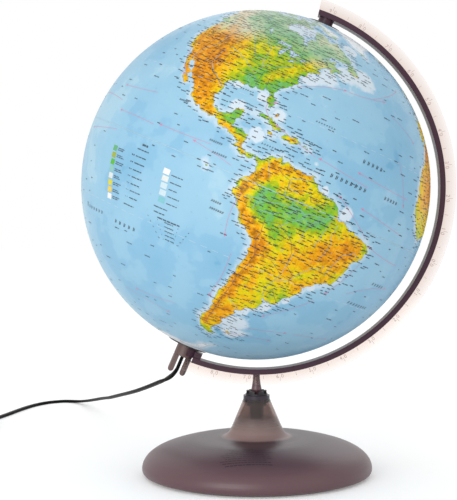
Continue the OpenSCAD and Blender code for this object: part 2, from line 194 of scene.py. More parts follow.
# ------------------------------------------------------------------ materials
def material(name, base, rough=0.45, metal=0.0, vary=0.06, scale=220.0, bump=0.05, emit=0.0, spec=0.5,
             grain=900.0):
    """Principled finish with a fine colour drift, a roughness drift and a shallow grain."""
    m = bpy.data.materials.new(name)
    m.use_nodes = True
    nt = m.node_tree
    p = nt.nodes["Principled BSDF"]
    tc = nt.nodes.new("ShaderNodeTexCoord")
    big = nt.nodes.new("ShaderNodeTexNoise")
    big.inputs["Scale"].default_value = scale
    big.inputs["Detail"].default_value = 5.0
    nt.links.new(tc.outputs["Object"], big.inputs["Vector"])
    fine = nt.nodes.new("ShaderNodeTexNoise")
    fine.inputs["Scale"].default_value = grain
    fine.inputs["Detail"].default_value = 3.0
    nt.links.new(tc.outputs["Object"], fine.inputs["Vector"])
    ramp = nt.nodes.new("ShaderNodeValToRGB")
    lo = [max(0.0, c * (1 - vary)) for c in base]
    hi = [min(1.0, c * (1 + vary)) for c in base]
    ramp.color_ramp.elements[0].color = (*lo, 1)
    ramp.color_ramp.elements[1].color = (*hi, 1)
    ramp.color_ramp.elements[0].position = 0.3
    ramp.color_ramp.elements[1].position = 0.7
    nt.links.new(big.outputs["Fac"], ramp.inputs["Fac"])
    nt.links.new(ramp.outputs["Color"], p.inputs["Base Color"])
    mr = nt.nodes.new("ShaderNodeMapRange")
    mr.inputs["To Min"].default_value = max(0.02, rough - 0.06)
    mr.inputs["To Max"].default_value = min(1.0, rough + 0.06)
    nt.links.new(fine.outputs["Fac"], mr.inputs["Value"])
    nt.links.new(mr.outputs["Result"], p.inputs["Roughness"])
    b = nt.nodes.new("ShaderNodeBump")
    b.inputs["Strength"].default_value = bump
    b.inputs["Distance"].default_value = 0.0002
    nt.links.new(fine.outputs["Fac"], b.inputs["Height"])
    nt.links.new(b.outputs["Normal"], p.inputs["Normal"])
    p.inputs["Metallic"].default_value = metal
    p.inputs["Specular IOR Level"].default_value = spec
    if emit:
        p.inputs["Emission Strength"].default_value = emit
        nt.links.new(ramp.outputs["Color"], p.inputs["Emission Color"])
    return m


def dress(obj, mat_):
    obj.data.materials.clear()
    obj.data.materials.append(mat_)
    return obj


def smooth_node(name, angle=30):
    m = nodes[name].data
    m.polygons.foreach_set("use_smooth", [True] * len(m.polygons))
    m.set_sharp_from_angle(angle=math.radians(angle))


# ------------------------------------------------------------------ map outlines: longitude, latitude
def track(text):
    """A list of places from text: numbers with spaces between, and a comma after each place."""
    return [tuple(float(v) for v in place.split()) for place in text.split(",")]


def tracks(text):
    """A list of tracks from text, with a semicolon after each one."""
    return [track(row) for row in text.split(";")]


NAM = track("""
    -168 65.6, -166.5 68.3, -163 69.5, -156.7 71.3, -150 70.5, -141 69.6, -136 69, -128 70.3, -124 69.6,
    -115 68, -108 67.8, -102 67.8, -96 68.2, -95.5 71.8, -92 70, -88 68.8, -85 69.5, -82 69.6, -81.5 67.5,
    -86.5 66.4, -87 64.8, -91 63.3, -94.5 61, -94.7 58.8, -92.5 57, -88 56.5, -82.3 55.2, -82.2 53,
    -80.5 51.3, -79 51.5, -79.3 54.5, -76.7 56.5, -78.3 58.6, -77.5 60.2, -78 62.4, -73.5 62.3, -70 61,
    -69.5 59, -66 58.8, -64.5 60.3, -61.5 57, -57.5 54.6, -55.7 52.5, -59 50.3, -66.5 50.2, -69 48.8,
    -71 46.9, -68 48.5, -64.4 49, -65 47.2, -64 46.2, -61.5 45.8, -60 46, -63.5 44.6, -65.7 43.5,
    -66.2 44.5, -64.6 45.5, -67 44.8, -70 43.7, -70.8 42.6, -70 41.8, -71.4 41.4, -74 40.6, -74.2 39.5,
    -75.4 38, -76.1 38.8, -76.3 37, -75.6 35.3, -77.9 33.9, -79.3 33.1, -81.2 31.8, -81.4 30.3, -80.1 26.9,
    -80.4 25.2, -81.2 25.2, -81.7 25.9, -82.7 27.7, -82.8 29.1, -84.2 30.1, -85.3 29.7, -88 30.3,
    -89.3 29.1, -91 29.3, -93.8 29.7, -95.5 28.7, -97.2 27.7, -97.2 25.9, -97.8 22.5, -96.2 19.2,
    -94.5 18.2, -91.8 18.5, -90.6 19.8, -90.3 21.1, -87.1 21.5, -87.4 19.4, -88.2 18.3, -88.5 15.9,
    -86 15.9, -83.2 15, -83.6 12.5, -83.6 10.9, -82.2 9.2, -80 9.2, -79.2 9.6, -77.4 8.6, -76.8 8.2,
    -75.5 10.4, -74.8 11.1, -73.2 11.3, -71.7 12.4, -71.4 11.2, -71.9 10, -71 9.3, -70.9 10.8, -70 12,
    -69.6 11.4, -68.3 10.6, -66 10.6, -64.5 10.2, -62 10.7, -61.8 9.8, -60 8.5, -57.2 6, -54 5.8, -51.7 4.3,
    -50 1.8, -50.7 0.2, -50.9 -1, -48.5 -0.8, -47.5 -0.7, -44.3 -2.6, -41 -2.9, -38.5 -3.7, -35.3 -5.2,
    -34.8 -7.5, -35.3 -9.5, -37.2 -11.3, -38.5 -13, -39 -16, -39.7 -19.5, -41 -22, -43 -23, -45 -23.7,
    -48.3 -25.8, -48.7 -28.4, -50.5 -30.5, -52.3 -32.7, -54.9 -34.9, -57.8 -34.4, -58.4 -34, -57.2 -35.6,
    -57.6 -38.1, -62.1 -39, -62.3 -40.8, -65 -41, -63.7 -42.5, -65.3 -44.6, -67.5 -46, -65.8 -47.8,
    -67.6 -50, -69 -51.6, -68.4 -52.6, -68 -53.6, -65.2 -54.7, -67.3 -55.9, -70.5 -55, -73.5 -53.2, -75 -51,
    -75.5 -47.8, -74.2 -46.4, -73.2 -44.5, -72.9 -42, -73.8 -41.2, -73.3 -39.5, -73.6 -37.2, -72 -34.5,
    -71.6 -33, -71.5 -30, -70.5 -26, -70.3 -18.4, -72 -17, -76.2 -14.3, -77.1 -12, -79 -8.2, -81.2 -6,
    -81.3 -4.6, -79.9 -3.2, -80.9 -2.2, -80.5 -0.6, -80 0.8, -78.8 1.6, -77.4 3.8, -77.5 6.5, -78.3 8.3,
    -79.5 8.9, -80.3 7.6, -81.2 7.6, -82.9 8.1, -83.7 8.6, -85.6 9.9, -85.8 11, -87.6 13, -90 13.7,
    -92.3 14.6, -94.8 16.2, -97 15.9, -101 17.4, -103.6 18.4, -105.5 20.3, -105.3 21.7, -107 24, -109.4 26,
    -111 28, -112.8 30.5, -114.6 31.7, -114.6 30.2, -112.6 28, -111.2 26.2, -109.5 23.4, -110 22.9,
    -112.2 24.8, -112.3 26.2, -115 27.8, -116 30.3, -117.2 32.6, -118.5 34, -120.6 34.6, -122.4 37.2,
    -123.8 39.5, -124.3 41.7, -124 46.2, -124.7 48.3, -122.6 47.6, -123.2 49.2, -127.5 51, -130.3 54.5,
    -133 57, -136.5 58.3, -140 59.7, -145 60.3, -149 60, -151.8 59.2, -151 61, -154 59, -158 56.5,
    -163 54.8, -160 56.2, -157.5 58.6, -162 58.8, -165.5 61.3, -164.5 63.1, -161 64.4, -166 64.5""")
EURASIA = track("""
    -9.5 38.8, -8.8 43.2, -2 43.4, -1.2 46, -4.7 48.4, 1.6 50.9, 4.5 52.5, 8.5 53.7, 8.2 57, 10.5 57.6,
    9.6 54.8, 14 54, 18.6 54.6, 21 55.3, 21.5 57.6, 24.3 57.2, 23.5 59.2, 29.5 59.8, 24 60, 21.3 61, 25 65,
    21.5 65.4, 17.3 61.5, 18.5 59.8, 16.4 57, 14.2 55.5, 12.8 55.8, 11.2 59, 8 58, 5.5 59, 5 62, 10 64.3,
    14.5 68, 20 70, 27 71, 31 70.2, 41 67, 33.5 66.7, 38 64.2, 44 66, 44.5 68.3, 54 68.5, 60.5 69.7,
    68 68.5, 67 71.5, 73 72.8, 74 68, 77 72, 87 75, 104 77.6, 113 74, 127 72.5, 140 72.8, 152 71, 162 69.6,
    171 69.9, 180 68.8, 189.5 66.2, 187 64.5, 179 62.5, 170.5 60, 163.5 59.5, 162 56, 157 51, 156 57,
    164 62, 155 59.2, 143 59.3, 136 54.5, 141 52.5, 140 48.5, 132 43.2, 127.6 39.8, 129.4 36, 126.4 34.5,
    125.2 38, 121.5 39, 118 39, 122.3 37, 119.5 35, 121.8 31.5, 121.8 28.5, 118.5 24.6, 113.8 22.3,
    108.5 21.6, 106 19, 109 13, 106.5 10, 104.8 8.8, 102.5 12.3, 100.3 13.5, 99.4 9.5, 103.4 4.5, 104 1.4,
    101 3, 98.4 8.2, 98.6 14, 97 17, 94.3 16.2, 92 21.5, 88.5 21.7, 86.5 20, 82.3 16.6, 80.2 13, 79.9 10.3,
    77.5 8.1, 74.5 13.5, 72.8 19, 72.5 21.5, 70 21, 67 24.8, 57.5 25.5, 56.5 27, 51.5 27.8, 48.5 30.3,
    50.8 25, 54 24.1, 56.3 26, 59.8 22.4, 55.3 17.4, 45 12.8, 43 13.5, 39 21.3, 34.9 29.4, 32.6 30,
    34.3 31.3, 36 36.7, 30.5 36.3, 27.3 37, 26.3 40.2, 29.2 41.2, 35 42, 41.5 41.4, 37 45, 39 47.2, 35 46.2,
    33.6 44.5, 31 46.6, 28.5 43.8, 28 41.5, 23 40.3, 24 37.8, 22 36.6, 19.4 41.5, 13.6 45.6, 12.5 44,
    18.5 40.2, 16.1 38, 12.4 41.7, 8.8 44.4, 4 43.4, 3.2 42, -0.3 39.4, -2 36.8, -5.5 36.1, -8.9 37.1""")
AFRICA = track("""
    -5.8 35.8, 10 37.3, 11 33.8, 19.8 30.4, 20 32.8, 32 31.2, 32.6 29.9, 37.2 21, 39.4 15.5, 43.2 11.7,
    51.2 11.8, 47.8 4, 41.5 -1.8, 38.8 -6.5, 40.6 -14.8, 35 -20, 35.4 -24, 32.8 -27.5, 27 -33.7, 20 -34.8,
    18.2 -32, 14.5 -22.5, 11.8 -16.5, 13.7 -10.8, 12 -4.8, 8.8 -0.8, 9.7 3.8, 4.3 6.3, -7.6 4.4, -13.3 8.6,
    -16.7 12.4, -17.3 14.7, -16.3 19.5, -17 21, -14.8 26, -9.8 30, -6.8 34""")
AUS = track("""
    114 -22, 113.4 -26, 115.7 -32, 118 -35, 124 -33.2, 131 -31.5, 135.5 -34.8, 138 -33, 140.5 -38,
    146.4 -39, 150 -37.4, 153.2 -32, 153.2 -25.5, 146 -19, 142.6 -10.8, 141 -17.3, 135.6 -15, 136.8 -12.2,
    131 -11.4, 126 -14, 122.2 -18, 117 -20.7""")
ISLANDS = tracks("""
    -59.3 47.8, -55.9 51.5, -53.5 48.7, -53 46.8, -56 47;
    -84.9 21.9, -82.5 23.1, -79.5 22.7, -77 21.2, -74.2 20.2, -77.6 19.9, -78.3 20.8, -81.8 22.2;
    -74.4 18.4, -73.2 19.9, -70 19.7, -68.4 18.6, -71.4 17.8, -72.5 18.3;
    -67.2 18.4, -65.7 18.4, -66 18, -67.1 18;
    -78.3 18.4, -76.3 18.1, -77.5 17.8;
    -78.2 25, -77.8 24, -77.6 24.6;
    -61.8 10.7, -61 10.7, -61.2 10.1;
    -61.2 -51.5, -58 -51.4, -59.5 -52.2;
    -91.4 0, -90.7 -0.9, -91.2 -0.6;
    -128 50.7, -125 49.8, -123.5 48.4, -126.5 49.5;
    -133 54, -131.8 53.4, -131.4 52.2;
    -80 73.7, -70 71, -62 66.8, -65 62.8, -72 65, -78 70, -89 71.5;
    -117 73, -105 73, -102 69.5, -115 69.3;
    -125 72, -120 74, -116 73, -123 71.3;
    -92 81, -70 83, -62 82.3, -76 78.5, -80 76.2, -90 76.6;
    -95 76, -80 75.5, -80 74.7, -94 74.8;
    -86 65.7, -80.5 64, -82 63.1, -87 63.6;
    -73 78.3, -60 82, -32 83.5, -20 80, -22 70.5, -40 65.2, -44 60, -51 64, -54 68.8, -58 75.5;
    -24 65.5, -16 66.5, -13.8 65, -18.8 63.4, -22.6 63.9;
    -5.5 50.2, -3 53.5, -5 58.5, -2 57.5, 1.5 52.7, 1.2 51.2;
    -10 51.8, -8.2 55.2, -5.6 54.4, -6.3 52.2;
    12 78, 20 80, 27 80, 17 76.7;
    52 71, 57 74, 68 76.8, 57 70.6;
    44 -25, 47.2 -25, 50.4 -15.6, 49.2 -12, 44.5 -16.5;
    79.8 9.5, 81.8 7, 80.2 6;
    8.3 40.8, 9.6 40.5, 9 39;
    8.6 42.5, 9.4 42.6, 9.2 41.5;
    12.5 38, 15.5 38.2, 15 36.8;
    23.6 35.4, 26.2 35.2, 24.8 35;
    32.3 34.9, 34.4 35.6, 33.4 34.6;
    95.4 5.5, 98 4.4, 103.5 -1, 106 -3.2, 105.6 -5.8, 102 -4, 98.8 1;
    105.2 -6.7, 108.5 -6.6, 114.4 -7.8, 114.3 -8.7, 106.5 -7.4;
    109 1.8, 111.5 2.8, 116.8 7, 119 5, 117.6 1, 116 -4, 111.5 -3.4, 110 -1.5;
    119.5 -5.5, 119 -1, 120.5 1, 125 1.5, 121 0.4, 123 -1, 121.8 -5;
    131 -0.8, 134.5 -0.9, 138 -1.7, 145.5 -4.8, 150.7 -10.4, 146 -8.8, 142.5 -9.3, 138.5 -8, 134 -4;
    120.2 16, 120.8 18.5, 122.3 18.4, 121.8 14.3, 124 12.8, 121 13.8;
    122 7, 123.6 8.5, 125.5 9.8, 126.4 7.4, 124.6 6;
    130.2 31.4, 132.8 34.2, 135.6 35.6, 139.8 38.6, 141.3 41.4, 141.9 39.4, 140.8 35.8, 137 34.7, 132 33;
    140 42, 141.8 45.4, 145.5 43.3, 141.5 42.5;
    142 46, 142.7 54, 143.6 49;
    120.2 23.2, 121.6 25.2, 120.9 22;
    108.7 19, 110.9 20, 109.5 18.2;
    172.7 -34.5, 175.8 -36.8, 178.4 -37.8, 175 -41.5, 174 -39.3;
    166.6 -45.9, 171 -42.6, 173 -40.7, 173.8 -42.4, 170.6 -45.9, 168.4 -46.6;
    144.7 -41, 148.3 -40.9, 147.5 -43.4, 145.7 -43;
    164 -20.2, 167 -22.3, 165.5 -21.8;
    124 -10.2, 127.2 -8.4, 125 -9.4""")
ANT = track("""
    -180 -78, -165 -78, -150 -77, -130 -74.5, -100 -72.5, -80 -73.5, -68 -70, -65 -65.5, -57.5 -63.3,
    -61 -66.5, -62 -73, -75 -77.5, -60 -76, -36 -78.5, -20 -73.5, -5 -70.5, 20 -70, 40 -69, 55 -66,
    70 -68.5, 90 -66.5, 115 -66.7, 135 -66, 150 -68.5, 170 -72, 165 -77.5, 180 -78, 180 -90, -180 -90""")
LAKES = tracks("""
    -92 46.8, -89 48.8, -85 47.8, -84.7 46.6, -88 46.9;
    -87.9 42.2, -87.6 44.8, -85.4 46, -86.4 43.5, -86.9 41.8;
    -84.6 45.8, -81 46, -80 44.7, -82.4 43.1, -83.4 44.2;
    -83.3 41.8, -79 42.8, -81.5 41.7;
    -79.6 43.4, -76.4 44, -77 43.3;
    -99 53.6, -96.5 51, -97.2 50.6, -98.6 52.5;
    -125 66, -118 66.6, -120 65.2;
    -116.5 61.2, -110 62.6, -113 61.2;
    -110.5 59.3, -106 59.5, -108 59;
    47 45, 51 46.9, 53.6 41, 53.8 37, 49 37.6, 50 40.5, 47.4 43;
    31.8 -0.3, 34 -0.3, 33.6 -2.4, 31.8 -2.3;
    104 51.7, 109.8 55.7, 106 52;
    -70.2 -15.4, -68.9 -16.5, -69.3 -16.4;
    -85.9 12, -84.9 11.3, -85.4 11.2""")


def warp(lon, lat):
    """The printed sheet sits a little wide and low round the front meridian."""
    d = (lon + 75.0 + 540) % 360 - 180
    w = math.exp(-(d / 65.0) ** 4)
    if abs(lat) < 45:
        lat = lat - 3.1 * w * math.sin(math.pi * lat / 45.0)
    return lon + w * (0.5 + 0.05 * d), lat


def dirs(lon, lat):
    """Unit vectors from the ball's centre to places on it."""
    lo, la = np.radians(np.asarray(lon, float) - LON0), np.radians(np.asarray(lat, float))
    front, east, north = np.cos(la) * np.cos(lo), np.cos(la) * np.sin(lo), np.sin(la)
    return (front[..., None] * np.array(FX) + east[..., None] * np.array(UX)
            + north[..., None] * np.array(AX))


def chord(points, line, closed=False):
    """Least distance from each point to a polyline on the ball, in degrees."""
    line = list(line) + ([line[0]] if closed else [])
    fine = []
    for (a, b), (c, d) in zip(line[:-1], line[1:]):
        k = max(1, int(max(abs(c - a) * math.cos(math.radians((b + d) / 2)), abs(d - b)) / 4))
        fine += [(a + (c - a) * i / k, b + (d - b) * i / k) for i in range(k)]
    fine.append(line[-1])
    v = dirs([p[0] for p in fine], [p[1] for p in fine])
    best = np.full(len(points), 9.0)
    for a, b in zip(v[:-1], v[1:]):
        ab = b - a
        l2 = float(ab @ ab)
        if l2 < 1e-12:
            continue
        t = np.clip(((points - a) @ ab) / l2, 0, 1)
        q = points - a - t[:, None] * ab
        best = np.minimum(best, np.einsum("ij,ij->i", q, q))
    return np.degrees(np.sqrt(best))


def inside(lon, lat, poly):
    """Whether each place lies within an outline, also where the outline crosses the date line."""
    c = np.zeros(len(lon), bool)
    for off in (-360.0, 0.0, 360.0):
        x = lon + off
        k = np.zeros(len(lon), bool)
        for (x1, y1), (x2, y2) in zip(poly, poly[1:] + poly[:1]):
            if y1 == y2:
                continue
            hit = ((y1 > lat) != (y2 > lat)) & (x < (x2 - x1) * (lat - y1) / (y2 - y1) + x1)
            k ^= hit
        c |= k
    return c


SEAM_LAT = 0.115                        # the joint ring shows up to this latitude, in degrees
POLE_HOLE = {1: 0.0060, -1: 0.0153}     # radius of the hole at the north and at the south pole
GREENLAND = (-42, 73)                   # the middle of its ice
LAND = [[warp(*p) for p in poly] for poly in (NAM, EURASIA, AFRICA, AUS, *ISLANDS)]
LAND.append(ANT)
WATER = [[warp(*p) for p in poly] for poly in LAKES]

# mountain chains: half width in degrees and height from 0 to 1, then the places along the chain
CHAINS = tracks("""
    2.4 1, -73 8, -75 4, -78 -1, -78.5 -6, -75.5 -11, -71 -15.5, -68 -19, -67.5 -24, -69.5 -30, -70.3 -36;
    2.6 0.7, -69 -16, -67 -20, -67 -24;
    1.3 0.75, -70.5 -36, -71.6 -42, -72.6 -47, -73 -51;
    2 0.6, -70 9, -67 10.2, -63 10.2;
    1.2 0.8, -82.5 9, -85 11.5, -89 14.6, -92.5 15.5;
    4.5 0.85, -97 17, -100 20, -103.5 24, -107 28.5;
    3.5 0.6, -97 17, -99 21, -101 26;
    5 0.9, -106 33, -107 38, -110 43.5, -114 47.5;
    7 0.72, -112 34, -115 39.5, -117 43;
    2 0.85, -118.5 36, -121 40.5, -121.8 46;
    3 0.8, -115 49, -120 53, -125 57.5, -130 61;
    2.4 0.85, -128 54.5, -135 60, -144 62, -152 62;
    2 0.45, -85.5 34, -81.5 37, -78 40.5, -73.5 44, -70 46;
    4.5 0.5, -101 34, -102.5 39, -105 44, -109 49;
    3.6 0.52, -65.5 4, -62 5, -58.5 3.6;
    5.5 0.55, -42 -13, -44.5 -18, -47 -15, -51.5 -16;
    3 0.6, -43.5 -20, -46 -22.5, -50.5 -26.5;
    3.5 0.42, -40.5 -8, -43.5 -10.5;
    4.5 0.42, -55 -14.5, -59 -12, -52 -19;
    2.6 0.5, -69 -45, -70 -49, -67 -42;
    1.6 0.55, -64.8 -27, -65 -32;
    1.5 0.4, -72 62, -66 67, -75 72;
    2 0.5, -66 57, -73 58;
    1.6 0.8, -77.8 18, -76.5 18;
    0.8 0.7, -72 18.8, -70.5 19;
    2.5 0.8, -6 32, 2 35, 8 35.5;
    3.5 0.75, 37 6, 39 10, 38.5 14;
    3.5 0.6, 30 -4, 35 -2, 36 2, 34 -11;
    3 0.7, 28.5 -30, 30.5 -25;
    8 0.45, 18 -14, 24 -20, 20 -27;
    4 0.4, 6 23, 18 21;
    3 0.4, 9 10, 14 6;
    1.6 0.9, 6 45, 10 46.7, 14.5 47;
    1.6 0.65, 7 60.5, 13 65, 20 68.5;
    4 0.5, -5 40, -3 42;
    1.6 0.6, 20 49, 25 46;
    1.5 0.55, 59 54, 60 62, 66 68;
    1.6 0.9, 40 43.4, 46 42;
    4 0.75, 32 38.5, 40 39, 46 36, 52 32, 58 30;
    3 0.7, 44 15, 40 20;
    4 0.85, 62 33, 69 35, 74 38;
    2.5 1, 74 35, 80 30.5, 87 28, 94 28.5;
    6.5 0.98, 79 34, 87 34, 95 33, 99 31;
    3 0.85, 72 41, 80 42.5, 88 43;
    3.5 0.7, 86 48, 95 49, 103 51, 112 52;
    7 0.5, 100 46, 108 44;
    5 0.55, 118 56, 130 60, 142 63, 152 62, 163 64;
    4 0.55, 103 27, 108 26, 112 27;
    5 0.4, 76 12, 77 18, 80 22;
    1.2 0.6, 138 36, 140.5 39.5;
    1.6 0.7, 136 -4, 141 -5, 146 -7;
    1 0.6, 99 2, 102.5 -3;
    2 0.5, 113 1, 116 4;
    2.5 0.5, 146 -20, 150.5 -28, 148 -36;
    8 0.25, 120 -25, 130 -24;
    1 0.8, 168 -45, 172 -42.5;
    2.5 0.7, 46.5 -19, 48 -15;
    4 0.6, -160 67.5, -145 68.5;
    8 0.35, 98 63, 105 68""")
# broad tints: dry or bare ground towards yellow, from -1 green to 1 dry; centre, radius in degrees
TINTS = track("""
    -86 33 8 -0.4, -92 32 5 -0.3, -78 37 5 -0.2, -97 38 6 0.1, -99 44 6 0.15, -95 31 3 0, -110 31 8 1.1,
    -115 38 7 1, -104 26 6 1.1, -112 27 4 1, -90 41 6 0.5, -63 -4 10 -0.38, -70 -2 8 -0.35, -55 -3 7 -0.42,
    -74 -6 4 -0.4, -60 -8 6 -0.4, -74 3 4 -0.1, -66 7 5 0.9, -70 5 4 0.7, -48 -8 6 0.9, -41 -8 6 1.4,
    -50 -14 7 1, -58 -17 4 0.5, -60 -22 6 1.2, -58 -27 5 1, -62 -35 6 1, -67 -40 5 1, -69 -46 6 1.1,
    -71 -20 5 1.3, -89.5 18.5 3 -0.6, -52 -28 4 0.2, -85 50 9 -0.3, -105 58 10 -0.3, 0 23 16 1.5,
    20 23 16 1.5, -8 20 10 1.3, 22 0 9 -0.8, 10 5 6 -0.6, 20 -24 9 1.2, 46 24 10 1.5, 44 6 6 1,
    65 35 10 1.2, 60 42 8 1.2, 80 40 9 1.2, 105 43 9 1.2, 78 24 7 0.6, 115 28 8 -0.4, 102 17 7 -0.4,
    113 0 9 -0.8, 141 -5 7 -0.7, 25 52 14 -0.2, 80 60 16 -0.4, 128 -25 14 1.4, 146 -27 6 0.8""")


# wide shallow shelves, printed nearly white; centre, radius in degrees
SHELVES = track("""
    -77.5 24.5 2.6, -81 16 2.6, -89.5 22 2.4, -84 28 2, -93 29 1.6, -73 39 2.4, -67 42.5 3.6, -60 45.5 4,
    -51 46.5 4.2, -61.5 -46 5, -58 -51 4.4, -63 -40 3.4, -48 2.5 2.6, -46.5 -25.5 2.4, -51 -32 2,
    -56 -36.5 2.6, -57 7.6 2, -85 60 7, 3 56 5, 45 71 9, 75 74 9, 130 75 12, -168 60 7, -165 71 6, 124 31 5,
    108 4 7, 113 -5 4, 137 -10 6, 145 57 4, 171 -43 3, 168 -48 3, 51 27 3, -5 51 3, -62 15 1.6, -55 60 2.6,
    70 -50 3""")


def map_fields(lon, lat, d):
    """Distance inland (below zero at sea), height or shelf, tint and ice at places with directions d."""
    sd = np.full(len(lon), 60.0)
    land = np.zeros(len(lon), bool)
    for poly in LAND:
        sd = np.minimum(sd, chord(d, poly, True))
        land |= inside(lon, lat, poly)
    lake = np.zeros(len(lon), bool)
    for poly in WATER:
        sd = np.minimum(sd, chord(d, poly, True))
        lake |= inside(lon, lat, poly)
    sd = np.where(land & ~lake, sd, -sd)
    h = np.zeros(len(lon))
    for (w, top), *line in CHAINS:
        q = chord(d, [warp(*p) for p in line]) / w
        h = np.maximum(h, top * np.exp(-(q ** 2) * 0.9))
    tint = np.zeros(len(lon))
    for lo, la, r, v in TINTS:
        c = dirs(*warp(lo, la))
        a = np.degrees(np.arccos(np.clip(d @ c, -1, 1))) / r
        tint += v * np.exp(-a ** 2)
    shelf = np.zeros(len(lon))
    for lo, la, r in SHELVES:
        c = dirs(*warp(lo, la))
        shelf = np.maximum(shelf, np.exp(-(np.degrees(np.arccos(np.clip(d @ c, -1, 1))) / r) ** 2))
    h = np.where(sd > 0, h, shelf)
    ice = np.clip((-lat - 60) / 6, 0, 1)
    c = dirs(*GREENLAND)
    ice = np.maximum(ice, np.clip(1.9 - np.degrees(np.arccos(np.clip(d @ c, -1, 1))) / 8, 0, 1))
    return sd, h, tint, ice


def half_ball(name, sign):
    """One half of the ball's skin, from the joint ring to the hole at its pole, with the map's fields."""
    rows, cols = 176, 520
    hole = math.degrees(math.asin(POLE_HOLE[sign] / R))
    la = SEAM_LAT + (90 - hole - SEAM_LAT) * np.linspace(0, 1, rows)
    lo = np.arange(cols) * 360.0 / cols + LON0
    LO, LA = np.meshgrid(lo, la * sign)
    lon, lat = ((LO.ravel() + 180) % 360) - 180, LA.ravel()
    d = dirs(lon, lat)
    v = np.array(C) + d * R
    idx = np.arange(rows * cols).reshape(rows, cols)
    a, b = idx[:-1, :], np.roll(idx, -1, 1)[:-1, :]
    c2, e2 = np.roll(idx, -1, 1)[1:, :], idx[1:, :]
    q = np.stack([a, b, c2, e2], -1).reshape(-1, 4)
    if sign < 0:
        q = q[:, ::-1]
    m = bpy.data.meshes.new(name)
    m.from_pydata(v.tolist(), [], q.tolist())
    m.update()
    m.polygons.foreach_set("use_smooth", [True] * len(m.polygons))
    sd, h, tint, ice = map_fields(lon, lat, d)
    for key, val in (("coast", sd), ("height", h), ("tint", tint), ("ice", ice)):
        at = m.attributes.new(key, "FLOAT", "POINT")
        at.data.foreach_set("value", val.astype(np.float32))
    o = bpy.data.objects.new(name, m)
    bpy.context.scene.collection.objects.link(o)
    return o


# ------------------------------------------------------------------ map finish
PRINT = 0.70


